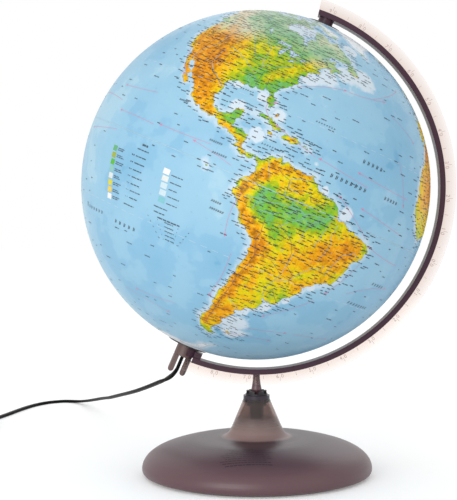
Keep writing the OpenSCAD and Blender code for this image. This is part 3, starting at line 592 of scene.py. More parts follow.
def map_material():
    m = bpy.data.materials.new("map_print_and_painted_glow")
    m.use_nodes = True
    nt = m.node_tree
    N, L = nt.nodes, nt.links
    p = N["Principled BSDF"]

    def attr(name):
        a = N.new("ShaderNodeAttribute")
        a.attribute_name = name
        return a.outputs["Fac"]

    def math_(op, a, b=0.0, clamp=False):
        n_ = N.new("ShaderNodeMath")
        n_.operation = op
        n_.use_clamp = clamp
        for i, x in enumerate((a, b)):
            if isinstance(x, (int, float)):
                n_.inputs[i].default_value = x
            else:
                L.new(x, n_.inputs[i])
        return n_.outputs[0]

    def rng(x, a, b, c=0.0, d=1.0):
        n_ = N.new("ShaderNodeMapRange")
        L.new(x, n_.inputs["Value"])
        for k, v in (("From Min", a), ("From Max", b), ("To Min", c), ("To Max", d)):
            n_.inputs[k].default_value = v
        return n_.outputs["Result"]

    def ramp(x, stops):
        n_ = N.new("ShaderNodeValToRGB")
        cr = n_.color_ramp
        while len(cr.elements) < len(stops):
            cr.elements.new(0.5)
        for e_, (pos, col) in zip(cr.elements, stops):
            e_.position = pos
            e_.color = (*[PRINT * (v / 255.0) ** 2.2 for v in col], 1)
        L.new(x, n_.inputs["Fac"])
        return n_.outputs["Color"]

    def mix(f, a, b, mode="MIX"):
        n_ = N.new("ShaderNodeMix")
        n_.data_type = "RGBA"
        n_.blend_type = mode
        n_.clamp_factor = True
        if isinstance(f, (int, float)):
            n_.inputs[0].default_value = f
        else:
            L.new(f, n_.inputs[0])
        for i, x in ((6, a), (7, b)):
            if isinstance(x, tuple):
                n_.inputs[i].default_value = (*[PRINT * (v / 255.0) ** 2.2 for v in x], 1)
            else:
                L.new(x, n_.inputs[i])
        return n_.outputs[2]

    tc = N.new("ShaderNodeTexCoord")

    def noise(scale, detail, rough=0.55, seed=0.0):
        mp = N.new("ShaderNodeMapping")
        mp.inputs["Location"].default_value = (seed, seed * 0.7, -seed)
        L.new(tc.outputs["Object"], mp.inputs["Vector"])
        n_ = N.new("ShaderNodeTexNoise")
        n_.inputs["Scale"].default_value = scale
        n_.inputs["Detail"].default_value = detail
        n_.inputs["Roughness"].default_value = rough
        L.new(mp.outputs["Vector"], n_.inputs["Vector"])
        return n_.outputs["Fac"]

    sd, h, tint, ice = attr("coast"), attr("height"), attr("tint"), attr("ice")
    wig = noise(170, 6, 0.62)
    sdn = math_("ADD", sd, rng(wig, 0.25, 0.75, -0.85, 0.85))
    land = rng(sdn, -0.05, 0.05)
    # ocean: pale shelf, mid blue, slightly darker basins and pale ridges
    basin = noise(10, 4, 0.5, 1.3)
    swell = noise(40, 4, 0.5, 2.1)
    off = math_("MULTIPLY", sdn, -1.0)
    deep = math_("ADD", math_("MULTIPLY", basin, 0.72), math_("MULTIPLY", swell, 0.28))
    sea = ramp(deep, ((0.38, (168, 208, 228)), (0.40, (156, 201, 226)), (0.50, (150, 197, 224)),
                      (0.515, (141, 191, 221)), (0.60, (135, 187, 218)), (0.615, (120, 177, 212))))
    shelf = rng(math_("ADD", off, rng(swell, 0.3, 0.7, -0.7, 0.7)), 0.1, 1.8, 1.0, 0.0)
    ragged = rng(noise(30, 5, 0.6, 7.0), 0.3, 0.7, -0.42, 0.42)
    wide = rng(math_("ADD", h, ragged), 0.4, 0.6, 0.0, 0.8)
    shelf = math_("MAXIMUM", math_("MULTIPLY", shelf, 0.62), wide)
    sea = mix(shelf, sea, (224, 234, 242))
    # land: green low ground, yellow, orange, brown
    rough1 = noise(120, 7, 0.62, 3.0)
    rough2 = noise(420, 5, 0.6, 4.0)
    rel = rng(rough1, 0.28, 0.72, -0.15, 0.15)
    rel2 = rng(rough2, 0.3, 0.7, -0.08, 0.08)
    level = math_("ADD", math_("ADD", math_("MULTIPLY", h, 0.45), rel), rel2)
    level = math_("ADD", math_("ADD", level, math_("MULTIPLY", tint, 0.17)), 0.2)
    ground = ramp(level, ((0.02, (112, 188, 124)), (0.14, (112, 190, 56)), (0.26, (176, 196, 30)),
                          (0.38, (232, 216, 14)), (0.50, (246, 192, 16)), (0.64, (244, 164, 8)),
                          (0.82, (226, 140, 18)), (1.0, (190, 112, 36))))
    ridge = noise(210, 8, 0.72, 5.0)
    strength = math_("ADD", math_("MULTIPLY", h, 0.75), 0.30, True)
    shade = math_("MULTIPLY", rng(ridge, 0.47, 0.60), strength)
    ground = mix(shade, ground, mix(0.7, ground, (124, 80, 20)))
    gleam = math_("MULTIPLY", rng(ridge, 0.44, 0.36), math_("MULTIPLY", strength, 0.5))
    ground = mix(gleam, ground, (252, 224, 96))
    cold = noise(30, 4, 0.5, 6.0)
    at = N.new("ShaderNodeSeparateXYZ")
    L.new(tc.outputs["Object"], at.inputs["Vector"])
    above = math_("SUBTRACT", at.outputs["Z"], C.z)
    sin_lat = math_("ADD", math_("MULTIPLY", at.outputs["X"], AX.x / R), math_("MULTIPLY", above, AX.z / R))
    north = rng(math_("ADD", sin_lat, rng(cold, 0.3, 0.7, -0.05, 0.05)), 0.67, 0.79)
    tundra = ramp(level, ((0.05, (140, 184, 152)), (0.25, (176, 206, 182)), (0.45, (214, 224, 208)),
                          (0.8, (224, 196, 140))))
    ground = mix(math_("MULTIPLY", north, 0.8), ground, tundra)
    icy = rng(math_("ADD", ice, rng(rough1, 0.3, 0.7, -0.25, 0.25)), 0.35, 0.65)
    ground = mix(icy, ground, mix(rng(ridge, 0.3, 0.7), (246, 249, 250), (214, 228, 238)))
    col = mix(land, sea, ground)
    line = math_("MULTIPLY", rng(math_("ABSOLUTE", sdn), 0.03, 0.16, 1.0, 0.0), 0.55)
    col = mix(line, col, (70, 120, 150))
    L.new(col, p.inputs["Base Color"])
    # painted glow: the map colours also give off a faint light of their own, though the skin is no lamp
    L.new(col, p.inputs["Emission Color"])
    p.inputs["Emission Strength"].default_value = 0.06
    p.inputs["IOR"].default_value = 1.22
    L.new(rng(rough2, 0.2, 0.8, 0.30, 0.42), p.inputs["Roughness"])
    b = N.new("ShaderNodeBump")
    b.inputs["Strength"].default_value = 0.15
    b.inputs["Distance"].default_value = 0.0002
    L.new(math_("MULTIPLY", level, land), b.inputs["Height"])
    L.new(b.outputs["Normal"], p.inputs["Normal"])
    return m


MAP = map_material()
north_skin = half_ball("ball_skin_north", 1)
south_skin = half_ball("ball_skin_south", -1)
for o, n_ in ((north_skin, "north_hemisphere"), (south_skin, "south_hemisphere")):
    dress(o, MAP)
    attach(o, "ball")
    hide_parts(n_)

# ------------------------------------------------------------------ print over the map colours
def ink(name, rgb, gain=PRINT):
    return material(name, tuple(gain * (c / 255.0) ** 2.2 for c in rgb), vary=0.06, bump=0.0, scale=900)


class Print:
    """Flat print in one mesh on the ball: ribbons along a line, and bars level with the parallels."""

    def __init__(self, name, mats, lift):
        self.name, self.mats, self.r = name, mats, R + lift
        self.v, self.f, self.m = [], [], []

    def quad(self, corners, mat):
        k = len(self.v)
        self.v += [C + c.normalized() * self.r for c in corners]
        self.f.append((k, k + 1, k + 2, k + 3))
        self.m.append(mat)

    def ribbon(self, line, width, mat=0, step=1.5, bend=True):
        pts = [Vector(dirs(*warp(*p))) if bend else Vector(dirs(*p)) for p in line]
        fine = []
        for a, b in zip(pts[:-1], pts[1:]):
            k = max(1, int(math.degrees(a.angle(b)) / step))
            fine += [a.lerp(b, i / k).normalized() for i in range(k)]
        fine.append(pts[-1])
        w = width / 2 / R
        rows = []
        for i, q in enumerate(fine):
            t = fine[min(i + 1, len(fine) - 1)] - fine[max(i - 1, 0)]
            side = t.cross(q).normalized() * w
            rows.append((q - side, q + side))
        for (a, b), (c, d) in zip(rows[:-1], rows[1:]):
            self.quad((a, b, d, c), mat)
        return fine

    def bar(self, lon, lat, x, y, w, h, mat=0, lean=0.0):
        """A bar w by h millimetres, its middle x, y millimetres east and north of a place."""
        o = Vector(dirs(lon, lat))
        east = AX.cross(o).normalized()
        north = o.cross(east)
        k = 0.001 / R
        low, high, x0, x1 = y - h / 2, y + h / 2, x - w / 2, x + w / 2
        c = [(x0 - lean, low), (x1 - lean, low), (x1 + lean, high), (x0 + lean, high)]
        self.quad([o + (east * p + north * q) * k for p, q in c], mat)

    def arrow(self, line, width, mat=0):
        fine = self.ribbon(line, width, mat, bend=False)
        tip, back = fine[-1], fine[-2]
        t = (tip - back).normalized()
        side = t.cross(tip).normalized() * (0.0011 / R)
        self.quad((tip - side, tip + t * (0.0028 / R), tip + t * (0.0028 / R), tip + side), mat)

    def words(self, lon, lat, x, y, length, h, mat=0):
        """A label as plain blocks: a row of short strokes with word gaps, and no letters."""
        at, k = x, 0
        word = rnd.randint(4, 8)
        while at < x + length:
            w = rnd.uniform(0.34, 0.62)
            self.bar(lon, lat, at + w / 2, y + rnd.uniform(-0.04, 0.04), w, h * rnd.uniform(0.85, 1.1), mat)
            at += w + 0.16
            k += 1
            if k == word:
                at, k, word = at + 0.5, 0, rnd.randint(4, 8)

    def build(self):
        o = new_mesh(self.name, self.v, self.f, False)
        for m_ in self.mats:
            o.data.materials.append(m_)
        o.data.polygons.foreach_set("material_index", self.m)
        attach(o, "ball")
        return o


grid = Print("map_grid", [ink("grid_ink", (140, 176, 200)), ink("line_ink", (188, 214, 228))], 0.00004)
for la in range(-75, 76, 15):
    if la:
        grid.ribbon([(lo, la) for lo in range(-180, 181, 5)], 0.00022, 0, 3, False)
for lo in range(-180, 180, 15):
    grid.ribbon([(lo, la) for la in range(-75, 76, 5)], 0.00022, 0, 3, False)
for la in (-23.4, 23.4, 66.5, -66.5):
    for lo in range(-180, 180, 4):
        grid.ribbon([(lo, la), (lo + 2.2, la)], 0.0003, 1, 3, False)
grid.build()

RIVERS = tracks("""
    -95 47, -91 43, -90.5 39, -89.5 36, -91 33, -91.3 31, -89.5 29.3;
    -111 46, -104 48, -100 45, -96 41, -94.5 39, -90.5 38.7;
    -80 40.5, -84 38.5, -88 37.5, -89.3 37;
    -106 37.5, -106.5 32, -103 29.3, -99.5 27.5, -97.3 26;
    -105 39, -100 38, -96 36.5, -91.5 34;
    -110 43, -110.5 38.5, -113 36, -114.7 33, -114.8 31.9;
    -117 51, -119 48, -119.5 46, -123.5 46.2;
    -117 60.5, -123 62, -127 65, -134 68.5;
    -76 44.5, -73 46, -70 47.5, -66 49.5;
    -74 -9, -73.5 -4.5, -70 -4, -66 -2.6, -61 -3.3, -56 -2.2, -53 -1.6, -51 -0.8;
    -77.5 -6, -76 -5, -73.5 -4.5;
    -68 2, -67 0, -63 -1.5, -60.2 -3.1;
    -72 -8, -68 -7.5, -64.5 -5.5, -62.5 -3.8;
    -65.3 -11, -63 -8, -60.5 -6, -58.8 -3.4;
    -58 -13, -57.5 -8, -56.5 -5, -55 -2.5;
    -53 -13, -52.5 -8, -52 -4.5, -51.8 -2;
    -49.5 -16, -48.5 -11, -49.5 -6, -49.2 -2;
    -64 2.5, -67 3.5, -67.5 6.5, -64.5 8, -61.5 8.7;
    -45 -20, -44 -15, -43 -11.5, -39.5 -9, -36.6 -10.4;
    -47 -19, -50.5 -20, -53 -23, -54.5 -26, -58.6 -27.4, -60 -31, -59 -33.8;
    -57.5 -17, -57.8 -21, -57.8 -25, -58.6 -27.4;
    -69 -38, -66 -39.5, -62.8 -41;
    -73 4, -74.3 8, -74.8 10.9;
    31 -1, 32 5, 30.5 9.5, 32.5 15.5, 31 19, 32.7 24, 31.2 30;
    37 12, 34.5 12.5, 32.5 15.5;
    26 -9, 25.5 -2, 21 2, 17 -1.5, 15.5 -4.3, 12.8 -6;
    -10 10, -5 14, 0 17, 4 12, 6.5 7, 6.3 4.8;
    23 -14, 26 -17.7, 31 -16, 35.5 -18.4;
    8.5 47.5, 8 50, 6 51.8;
    9 48, 16.5 48, 19 46, 22.5 44.5, 28.5 45;
    35 56.5, 44 56.3, 49 55, 46 49, 47.5 46;
    83 51, 78 57, 69 61, 66.5 66;
    92 52, 91 59, 87 66, 83 71;
    107 54, 115 60, 127 63, 124 68, 127 72;
    97 29, 100 27, 106 29.5, 111 30.5, 117 31, 121 31.7;
    98 34.5, 104 37, 107 40.5, 111 39.5, 110.5 34.8, 116 36, 118.5 37.6;
    96 31, 100 22, 104 17.5, 105.8 11.5;
    79 30, 82 26, 88 25, 90.5 23;
    77 34, 72 32, 70 28, 67.6 24.2;
    120 53, 128 50, 135 48.5, 140 52.5;
    147 -36, 142.5 -34.3, 139.5 -35""")
BORDERS = tracks("""
    -123 49, -110 49, -95 49, -90 48, -84 46.5, -82.5 45, -82.5 42, -79 43, -76 44.5, -71.5 45, -69 47.3,
        -67 45;
    -117 32.5, -111 31.3, -106.5 31.8, -103 29, -99.5 27.3, -97.4 26;
    -141 60.3, -141 69.5;
    -92.3 14.6, -90.5 16, -89.2 17.8, -88.4 18.4;
    -85.6 11.1, -83.8 11;
    -77.3 7.8, -77.7 7.2;
    -71.3 11.8, -72.5 9, -70 6.9, -67.5 6, -67 1.3;
    -78.8 1.4, -75.5 0.2, -73 -2.4, -70 -4.2, -69.5 1, -67 1.3, -64 4, -60.5 5;
    -60.5 5, -59.8 1.8, -56.5 2, -52 3.9;
    -80.2 -3.4, -78 -3.3, -75.3 -0.2;
    -70 -4.2, -73.8 -7.4, -70.5 -9.6, -69.5 -11, -69 -15.5, -69.6 -17.5, -70.3 -18.3;
    -69.5 -11, -65.3 -10, -60.3 -13.7, -58.2 -17.5, -58 -20, -62.4 -22, -66.5 -22, -68 -23;
    -69.6 -17.5, -67.9 -22.8, -68.4 -26, -69.8 -30, -70 -34, -71.3 -39, -71.7 -44, -72.3 -50, -68.6 -52.4;
    -58 -20, -57.5 -22, -54.3 -24.2, -54.6 -25.7, -57.8 -25.2, -62.6 -22.3;
    -54.6 -25.7, -53.7 -27, -57.6 -30.2, -58.2 -33.2;
    -57.6 -30.2, -53.4 -33.7;
    -100 49, -101.5 60;
    -110 49, -110 60;
    -120 53.5, -120 60;
    -136 60, -95 60;
    -95 52.8, -90 57;
    -79.5 51.5, -79.5 47, -76 45.5;
    -104 49, -104 41, -102 41, -102 37, -103 37, -103 32;
    -114 42, -114 37, -114.6 35;
    -111 45, -104 45;
    -120 42, -111 42, -111 41, -95.5 40.5;
    -109 41, -109 31.4;
    -109 37, -94.5 37, -89.5 36.5, -81.7 36.6, -76 36.5;
    -94.3 33, -91.2 33, -88 35, -84 35;
    -88.2 34.8, -88.3 30.5;
    -85.3 34.8, -85 30.9, -82 30.6;
    -117 49, -117 44, -117 42;
    -8 27.5, -5 30, -1.5 32, -1.8 35;
    -8.5 27.5, 3 19.5, 10 24, 9 30, 9.5 37;
    10 24, 15 23, 24 19.8, 25 22, 31.5 22, 36.5 22;
    25 22, 25 31;
    -12 15, -5 15, 3 15, 4 12, 10 13.5, 14 13, 15.5 19, 15 23;
    14 13, 15 8, 18.5 8, 24 9, 23.5 15.5, 24 19.8;
    24 9, 28 4.5, 31 3.7, 34 4.5, 36 4.5, 41.5 4;
    16.5 -5.8, 22 -7, 22 -11, 24 -13, 22 -16, 21 -18, 12 -17.3;
    30.5 -8.3, 28.5 -9.3, 33 -10.5, 35 -11.6, 40.3 -10.5;
    30.5 -1.2, 34 -1, 39.2 -4.6;
    20 -28.5, 20 -22, 25.5 -25.5, 29.5 -22.2, 31.5 -23.5, 32.8 -26.8;
    28 70, 30 62, 28 59.5;
    14 54, 15 51, 18.8 49.5, 22.5 49, 24 51.5, 23.5 54;
    -1.7 43.4, 3 42.5;
    7.5 43.8, 7 46, 7.6 47.6, 8 49, 3 50.8;
    49 46, 60 51, 76 54, 87 49.2, 98 52, 108 50, 116.5 49.8, 127 50, 135 48.3, 131 43;
    61.5 25.2, 61 31, 61 36, 66 37.4, 71 38, 74 37.2, 78 33, 79 31, 88 28, 97 28;
    68.5 23.8, 71 27.8, 74 32, 74.5 37;
    97.5 28, 98.7 24.5, 101 21.4, 105.3 23.2, 108 21.6;
    44 37, 45 33, 48 30;
    35 29.5, 39 32, 44.5 29.2, 47.5 28.8;
    42.7 16.5, 47 17, 52 19, 55 20, 55 24;
    129 -15, 129 -31.5;
    138 -16.5, 138 -26, 141 -26, 141 -38;
    141 -29, 152 -28.5;
    141 -3, 141 -9""")


def wobble(line, step, sway, least):
    """The line in short steps, each strayed a little to one side, as rivers and borders run."""
    out = []
    for (a, b), (c, d) in zip(line[:-1], line[1:]):
        k = max(least, int(math.hypot(c - a, d - b) / step))
        out += [(a + (c - a) * i / k + (rnd.uniform(-sway, sway) if i else 0),
                 b + (d - b) * i / k + (rnd.uniform(-sway, sway) if i else 0)) for i in range(k)]
    return out + [line[-1]]


rivers = Print("map_rivers", [ink("river_ink", (142, 184, 186))], 0.00006)
for line in RIVERS:
    rivers.ribbon(wobble(line, 1.2, 0.28, 2), 0.00036)
rivers.build()
borders = Print("map_borders", [ink("border_ink", (96, 92, 78))], 0.00007)
for line in BORDERS:
    borders.ribbon(wobble(line, 1.6, 0.15, 1), 0.00030)
borders.build()

CURRENTS = tracks("""
    -92 5.5, -101 5, -110 5.2;
    -113 4.5, -121 5, -130 5;
    -84 2, -90 3.5, -97 4.5;
    -133 8, -141 9, -150 9;
    -128 -1, -137 -2, -147 -3;
    -150 12, -160 13, -172 12;
    -118 14, -127 13, -136 13;
    -121 33, -118 28, -114 23;
    -74 -22, -73 -30, -75 -38;
    -78 -4, -80 -10, -78 -17;
    -75 33, -68 37, -58 39;
    -56 39, -46 40, -38 42;
    -44 41, -34 45, -24 50;
    -34 38, -26 36, -20 33;
    -30 24, -26 18, -24 12;
    -22 14, -34 14, -46 15;
    -42 12, -52 13, -60 14;
    -62 14, -70 16, -76 18;
    -80 20, -84 23, -80 24.5;
    -20 3, -30 4, -41 5.5;
    -14 -6, -24 -6, -33 -4;
    -36 -2, -43 2, -50 6;
    -33 -10, -35 -16, -38 -22;
    -40 -26, -45 -32, -52 -38;
    -54 -46, -46 -44, -38 -42;
    -34 -41, -24 -40, -14 -39;
    -30 -20, -22 -15, -12 -14;
    10 -30, 8 -22, 2 -14;
    -60 -52, -50 -50, -40 -48;
    -88 -48, -98 -50, -110 -50;
    -120 -52, -104 -53, -92 -54;
    60 -12, 52 -16, 48 -22;
    90 -14, 76 -14, 66 -12;
    110 -38, 95 -40, 80 -40;
    127 22, 134 30, 143 36;
    146 37, 158 40, 170 42;
    -175 42, -160 43, -146 43;
    160 10, 150 11, 140 13;
    155 -20, 157 -28, 155 -36;
    70 8, 78 5, 88 4""")


def bow(line, steps=10):
    """A smooth bend from the first place to the last, drawn towards the middle one."""
    (a, b), (c, d), (e, f) = line
    out = []
    for t in [i / steps for i in range(steps + 1)]:
        out.append(((1 - t) ** 2 * a + 2 * t * (1 - t) * c + t * t * e,
                    (1 - t) ** 2 * b + 2 * t * (1 - t) * d + t * t * f))
    return out


flow = Print("map_currents", [ink("current_ink", (206, 138, 176))], 0.00007)
for line in CURRENTS:
    flow.arrow(bow(line), 0.00034)
flow.build()

# small labels: many places drawn at random, kept mostly on land and along coasts, clear of one another
# and of the legend
labels = Print("map_labels", [ink("label_ink", (44, 44, 46)), ink("town_ink", (24, 22, 24))], 0.00009)
TRIES = 24000
u_draw = np.array([rnd.random() for _ in range(TRIES)])
v_draw = np.array([rnd.random() for _ in range(TRIES)])
lon_all, lat_all = u_draw * 360 - 180, np.degrees(np.arcsin(v_draw * 1.96 - 0.98))
dir_all = dirs(lon_all, lat_all)
sd_all, _, _, ice_all = map_fields(lon_all, lat_all, dir_all)
kept = np.zeros((0, 3))
for lon, lat, d, sd, ice in zip(lon_all, lat_all, dir_all, sd_all, ice_all):
    chance = 0.95 if sd > -0.2 else 0.8 if sd > -3.0 else 0.06 if sd > -12 else 0.03
    if ice > 0.4:
        chance = 0.06
    in_legend = -131 < lon < -85 and -29 < lat < -2
    if rnd.random() > chance or in_legend:
        continue
    near = math.cos(math.radians(1.0 if sd > -3 else 3.2))
    if len(kept) and float((kept @ d).max()) > near:
        continue
    kept = np.vstack([kept, d])
    if rnd.random() < 0.45 and sd > 0.3:
        labels.bar(lon, lat, -0.6, 0, 0.62, 0.62, 1)
    labels.words(lon, lat, 0, 0, rnd.choice((2.0, 2.8, 3.2, 4.0, 5.0, 6.4)), 0.8, 0)


def title(lon, lat, count, pitch, w, h, lean=0.25):
    """A name in spaced capitals, as a row of plain leaning strokes."""
    for i in range(count):
        for off in (-w, w):
            tall = h * (1.1 if off < 0 else 0.85)
            labels.bar(lon, lat, (i - (count - 1) / 2) * pitch + off, 0, w * 1.15, tall, 0, lean)


# longitude, latitude, letters, then pitch, width and height in millimetres
TITLES = (
    (-42, 19, 5, 4.6, 0.55, 3.0), (-49, 11, 8, 4.6, 0.55, 3.0), (-31, 11.4, 5, 3.6, 0.5, 2.6),
    (-134, -27.5, 7, 5.0, 0.5, 2.6), (-114, -28, 5, 5.4, 0.55, 3.0), (-18, -14, 5, 4.2, 0.45, 2.4),
    (-20, -22.5, 8, 4.2, 0.45, 2.4), (-62, 24.5, 8, 2.2, 0.28, 1.3), (-75, 11.5, 9, 2.1, 0.26, 1.4),
    (-107, 14.5, 6, 1.5, 0.3, 1.5), (-91, 6.6, 7, 1.6, 0.32, 1.6), (-88.5, 3.6, 7, 1.8, 0.34, 1.7),
    (-84, -9.4, 5, 1.7, 0.34, 1.7), (-83, -11.6, 7, 1.7, 0.34, 1.7), (-165, 30, 5, 4.6, 0.5, 2.8),
    (-165, 22, 7, 4.6, 0.5, 2.8), (-150, 40, 5, 3.6, 0.4, 2.2), (80, -15, 6, 4.6, 0.5, 2.8),
    (78, -22, 5, 4.6, 0.5, 2.8), (165, 12, 7, 4.6, 0.5, 2.8), (-90, 25, 6, 2.0, 0.26, 1.3),
    (-20, 68, 6, 2.2, 0.28, 1.4))
for spot in TITLES:
    title(*spot)
labels.build()

# legend: three columns of tiles or dots with lines of print beside them, notes round them, and a scale
TILES = ((96, 178, 118), (160, 178, 40), (88, 184, 44), (140, 200, 186), (226, 232, 228), (222, 214, 44),
         (238, 204, 76), (246, 244, 246), (44, 44, 46), (204, 226, 234), (126, 196, 206))
DARK = 8                                # the tile colour that the legend's print is in
legend = Print("map_legend", [ink("tile_%d" % i, c) for i, c in enumerate(TILES)], 0.00008)
for i in range(8):
    lat, lon = -6.5 - 2.08 * i, -125.2 + 0.3 * i
    legend.bar(lon, lat, 0, 0, 5.4, 4.4, i)
    for row in (0.9, -0.5):
        legend.words(lon, lat, 4.2, row, rnd.choice((7.0, 8.5, 10.0)), 0.75, DARK)
for i, m_ in enumerate((7, 4, 9, 9, 10)):
    lat, lon = -6.9 - 2.1 * i, -101.9 + 0.3 * i
    legend.bar(lon, lat, 0, 0, 6.0, 4.4, m_)
    legend.words(lon, lat, 5.0, -1.2, rnd.choice((7.0, 9.0, 10.5)), 0.8, DARK)
for i in range(7):
    lat, lon, dot = -6.2 - 2.1 * i, -115.8 + 0.25 * i, 1.1 - 0.1 * i
    legend.bar(lon, lat, -1.4, 0, dot, dot, DARK)
    legend.bar(lon, lat, 0.4, 0, dot, dot, DARK)
    legend.words(lon, lat, 2.8, 0, rnd.choice((9.0, 11.0, 12.5)), 0.9, DARK)
NOTES = ((-112.6, -2.4, -3.0, 6.0, 1.6), (-112.6, -4.0, -6.5, 12.0, 0.9), (-112.6, -21.2, -6.5, 11.0, 0.9),
         (-102, -17.8, -2.0, 12.0, 0.9), (-101.6, -19.4, -2.0, 10.0, 0.9), (-99, -20.8, -4.0, 20.0, 1.2))
for lon, lat, x, length, h in NOTES:
    legend.words(lon, lat, x, 0, length, h, DARK)
for i in range(5):
    lat, lon, span = -21.8 - 1.25 * i, -96.5 + i * 0.4, 38 - 5.0 * i
    legend.words(lon, lat, -3, 1.0, 8.0, 0.75, DARK)
    legend.bar(lon, lat, 0, 0, span, 0.34, DARK)
    for x in (-0.5, -0.25, 0, 0.25, 0.5):
        legend.bar(lon, lat, x * span, 0.4, 0.32, 0.9, DARK)
legend.build()

# ------------------------------------------------------------------ finishes of the other pieces
SMOKE = (0.046, 0.017, 0.030)
M = {
    "black": material("black_moulded", (0.016, 0.012, 0.016), 0.42, bump=0.08, spec=0.4),
    "collar": material("violet_moulded", (0.020, 0.011, 0.022), 0.32, bump=0.08, spec=0.4),
    "rubber": material("foot_rubber", (0.025, 0.025, 0.025), 0.8, bump=0.3),
    "steel": material("plated_steel", (0.62, 0.62, 0.64), 0.22, 1.0, bump=0.03),
    "brass": material("bare_brass", (0.72, 0.5, 0.2), 0.3, 1.0),
    "copper": material("bare_copper", (0.75, 0.35, 0.2), 0.3, 1.0),
    "white": material("white_moulded", (0.8, 0.8, 0.78), 0.45),
    "tab": material("release_tab_plastic", (0.100, 0.058, 0.052), 0.26, bump=0.08, spec=0.45),
    "seam": material("ball_seam", (0.30, 0.46, 0.56), 0.5),
    "opal": material("opal_diffuser", (0.9, 0.88, 0.82), 0.4, emit=0.6),
    "pvc": material("cord_pvc", (0.006, 0.006, 0.006), 0.45, bump=0.06, scale=400),
    "switch": material("switch_plastic", (0.020, 0.019, 0.020), 0.5, bump=0.15, grain=1600, spec=0.4),
    "rocker": material("rocker_plastic", (0.018, 0.018, 0.020), 0.22, bump=0.03),
}
FINISH = {
    "foot_ring": "rubber", "socket_tube": "collar", "socket_nut": "collar", "socket_crown": "black",
    "north_pin": "steel", "equator_ring": "seam", "north_bushing": "black", "pole_disc": "black",
    "south_bushing": "black", "screw_shell": "brass", "centre_contact": "brass", "core_wires": "copper",
    "cord_grip": "black", "release_tab_left": "tab", "release_tab_right": "tab", "bulb_cap": "steel",
    "bulb_tip": "black", "bulb_housing": "white", "bulb_dome": "opal", "coil_tie": "black",
    "switch_base": "switch", "switch_cover": "switch", "switch_screws": "steel",
    "switch_rocker": "rocker", "plug_body": "pvc", "plug_pins": "steel"}
M["pvc"].node_tree.nodes["Principled BSDF"].inputs["IOR"].default_value = 1.12
for name, key in FINISH.items():
    dress(nodes[name], M[key])
    smooth_node(name)


def split(m, frm, keep, lo, hi):
    """A mask from 0 to 1 as the length of (place - frm), along the axes in keep only, runs from lo to hi."""
    nt = m.node_tree
    tc = nt.nodes.new("ShaderNodeTexCoord")
    sub = nt.nodes.new("ShaderNodeVectorMath")
    sub.operation = "SUBTRACT"
    sub.inputs[1].default_value = frm
    nt.links.new(tc.outputs["Object"], sub.inputs[0])
    on = nt.nodes.new("ShaderNodeVectorMath")
    on.operation = "MULTIPLY"
    on.inputs[1].default_value = keep
    nt.links.new(sub.outputs["Vector"], on.inputs[0])
    ln = nt.nodes.new("ShaderNodeVectorMath")
    ln.operation = "LENGTH"
    nt.links.new(on.outputs["Vector"], ln.inputs[0])
    f = nt.nodes.new("ShaderNodeMapRange")
    f.inputs["From Min"].default_value = lo
    f.inputs["From Max"].default_value = hi
    nt.links.new(ln.outputs["Value"], f.inputs["Value"])
    return f.outputs["Result"]


def tint_by(m, mask, colour):
    nt = m.node_tree
    p = nt.nodes["Principled BSDF"]
    mx = nt.nodes.new("ShaderNodeMix")
    mx.data_type = "RGBA"
    nt.links.new(mask, mx.inputs[0])
    nt.links.new(p.inputs["Base Color"].links[0].from_socket, mx.inputs[6])
    mx.inputs[7].default_value = (*colour, 1)
    nt.links.new(mx.outputs[2], p.inputs["Base Color"])


def value_by(m, mask, socket, a, b):
    nt = m.node_tree
    f = nt.nodes.new("ShaderNodeMapRange")
    f.inputs["To Min"].default_value = a
    f.inputs["To Max"].default_value = b
    nt.links.new(mask, f.inputs["Value"])
    nt.links.new(f.outputs["Result"], nt.nodes["Principled BSDF"].inputs[socket])


# meridian: dark smoked hoop, and outside it a thin web that lets light through and pales outwards
HOOP, WEB = 0.1614, 0.1704
smoked = material("smoked_meridian", SMOKE, 0.24, vary=0.08, bump=0.04, scale=90)
smoked.node_tree.nodes["Principled BSDF"].inputs["IOR"].default_value = 1.32
web = split(smoked, tuple(HC), (1, 0, 1), HOOP + 0.00001, HOOP + 0.0001)
fade = split(smoked, tuple(HC), (1, 0, 1), HOOP, WEB)
tint_by(smoked, web, (0.82, 0.70, 0.645))
tint_by(smoked, fade, (0.97, 0.91, 0.88))
# the fade colour only counts on the web, so the hoop's own colour goes back under it
nt = smoked.node_tree
base_in = nt.nodes["Principled BSDF"].inputs["Base Color"]
back = nt.nodes.new("ShaderNodeMix")
back.data_type = "RGBA"
nt.links.new(web, back.inputs[0])
back.inputs[6].default_value = (*SMOKE, 1)
nt.links.new(base_in.links[0].from_socket, back.inputs[7])
nt.links.new(back.outputs[2], base_in)
value_by(smoked, web, "Transmission Weight", 0.0, 1.0)
value_by(smoked, web, "Roughness", 0.32, 0.06)
dress(nodes["meridian_arc"], smoked)
stem_mat = material("smoked_stem", (0.100, 0.045, 0.056), 0.26, vary=0.1, bump=0.05)
dress(nodes["stem"], stem_mat)

# base: smoked moulding, thinner and warmer in the cone, where the dark sleeve shows through. Colour by place
# is partly painted light: the outer rim is coloured lighter and the cone lighter and warmer, for light coming
# through the moulding, and the darker middle of the top is painted shade.
foot = material("smoked_base", (0.048, 0.023, 0.030), 0.38, vary=0.10, bump=0.10, scale=60, spec=0.55,
                grain=1400)
foot.node_tree.nodes["Principled BSDF"].inputs["IOR"].default_value = 1.42
rim = split(foot, (0, 0, 0), (1, 1, 0), 0.055, 0.092)
cone = split(foot, (0, 0, 0), (1, 1, 0), 0.0320, 0.0285)
neck = split(foot, (0, 0, 0), (0, 0, 1), 0.037, 0.052)
# painted light: the outer rim is coloured lighter, for light coming through the moulding; the darker middle is
# painted shade of the cone and socket
tint_by(foot, rim, (0.094, 0.047, 0.055))
# painted light: the cone is coloured lighter and warmer, for light coming through its thin wall
tint_by(foot, cone, (0.220, 0.140, 0.128))
tint_by(foot, neck, (0.340, 0.240, 0.220))
value_by(foot, neck, "Transmission Weight", 0.0, 0.94)
value_by(foot, neck, "Roughness", 0.38, 0.13)
dress(nodes["base_shell"], foot)

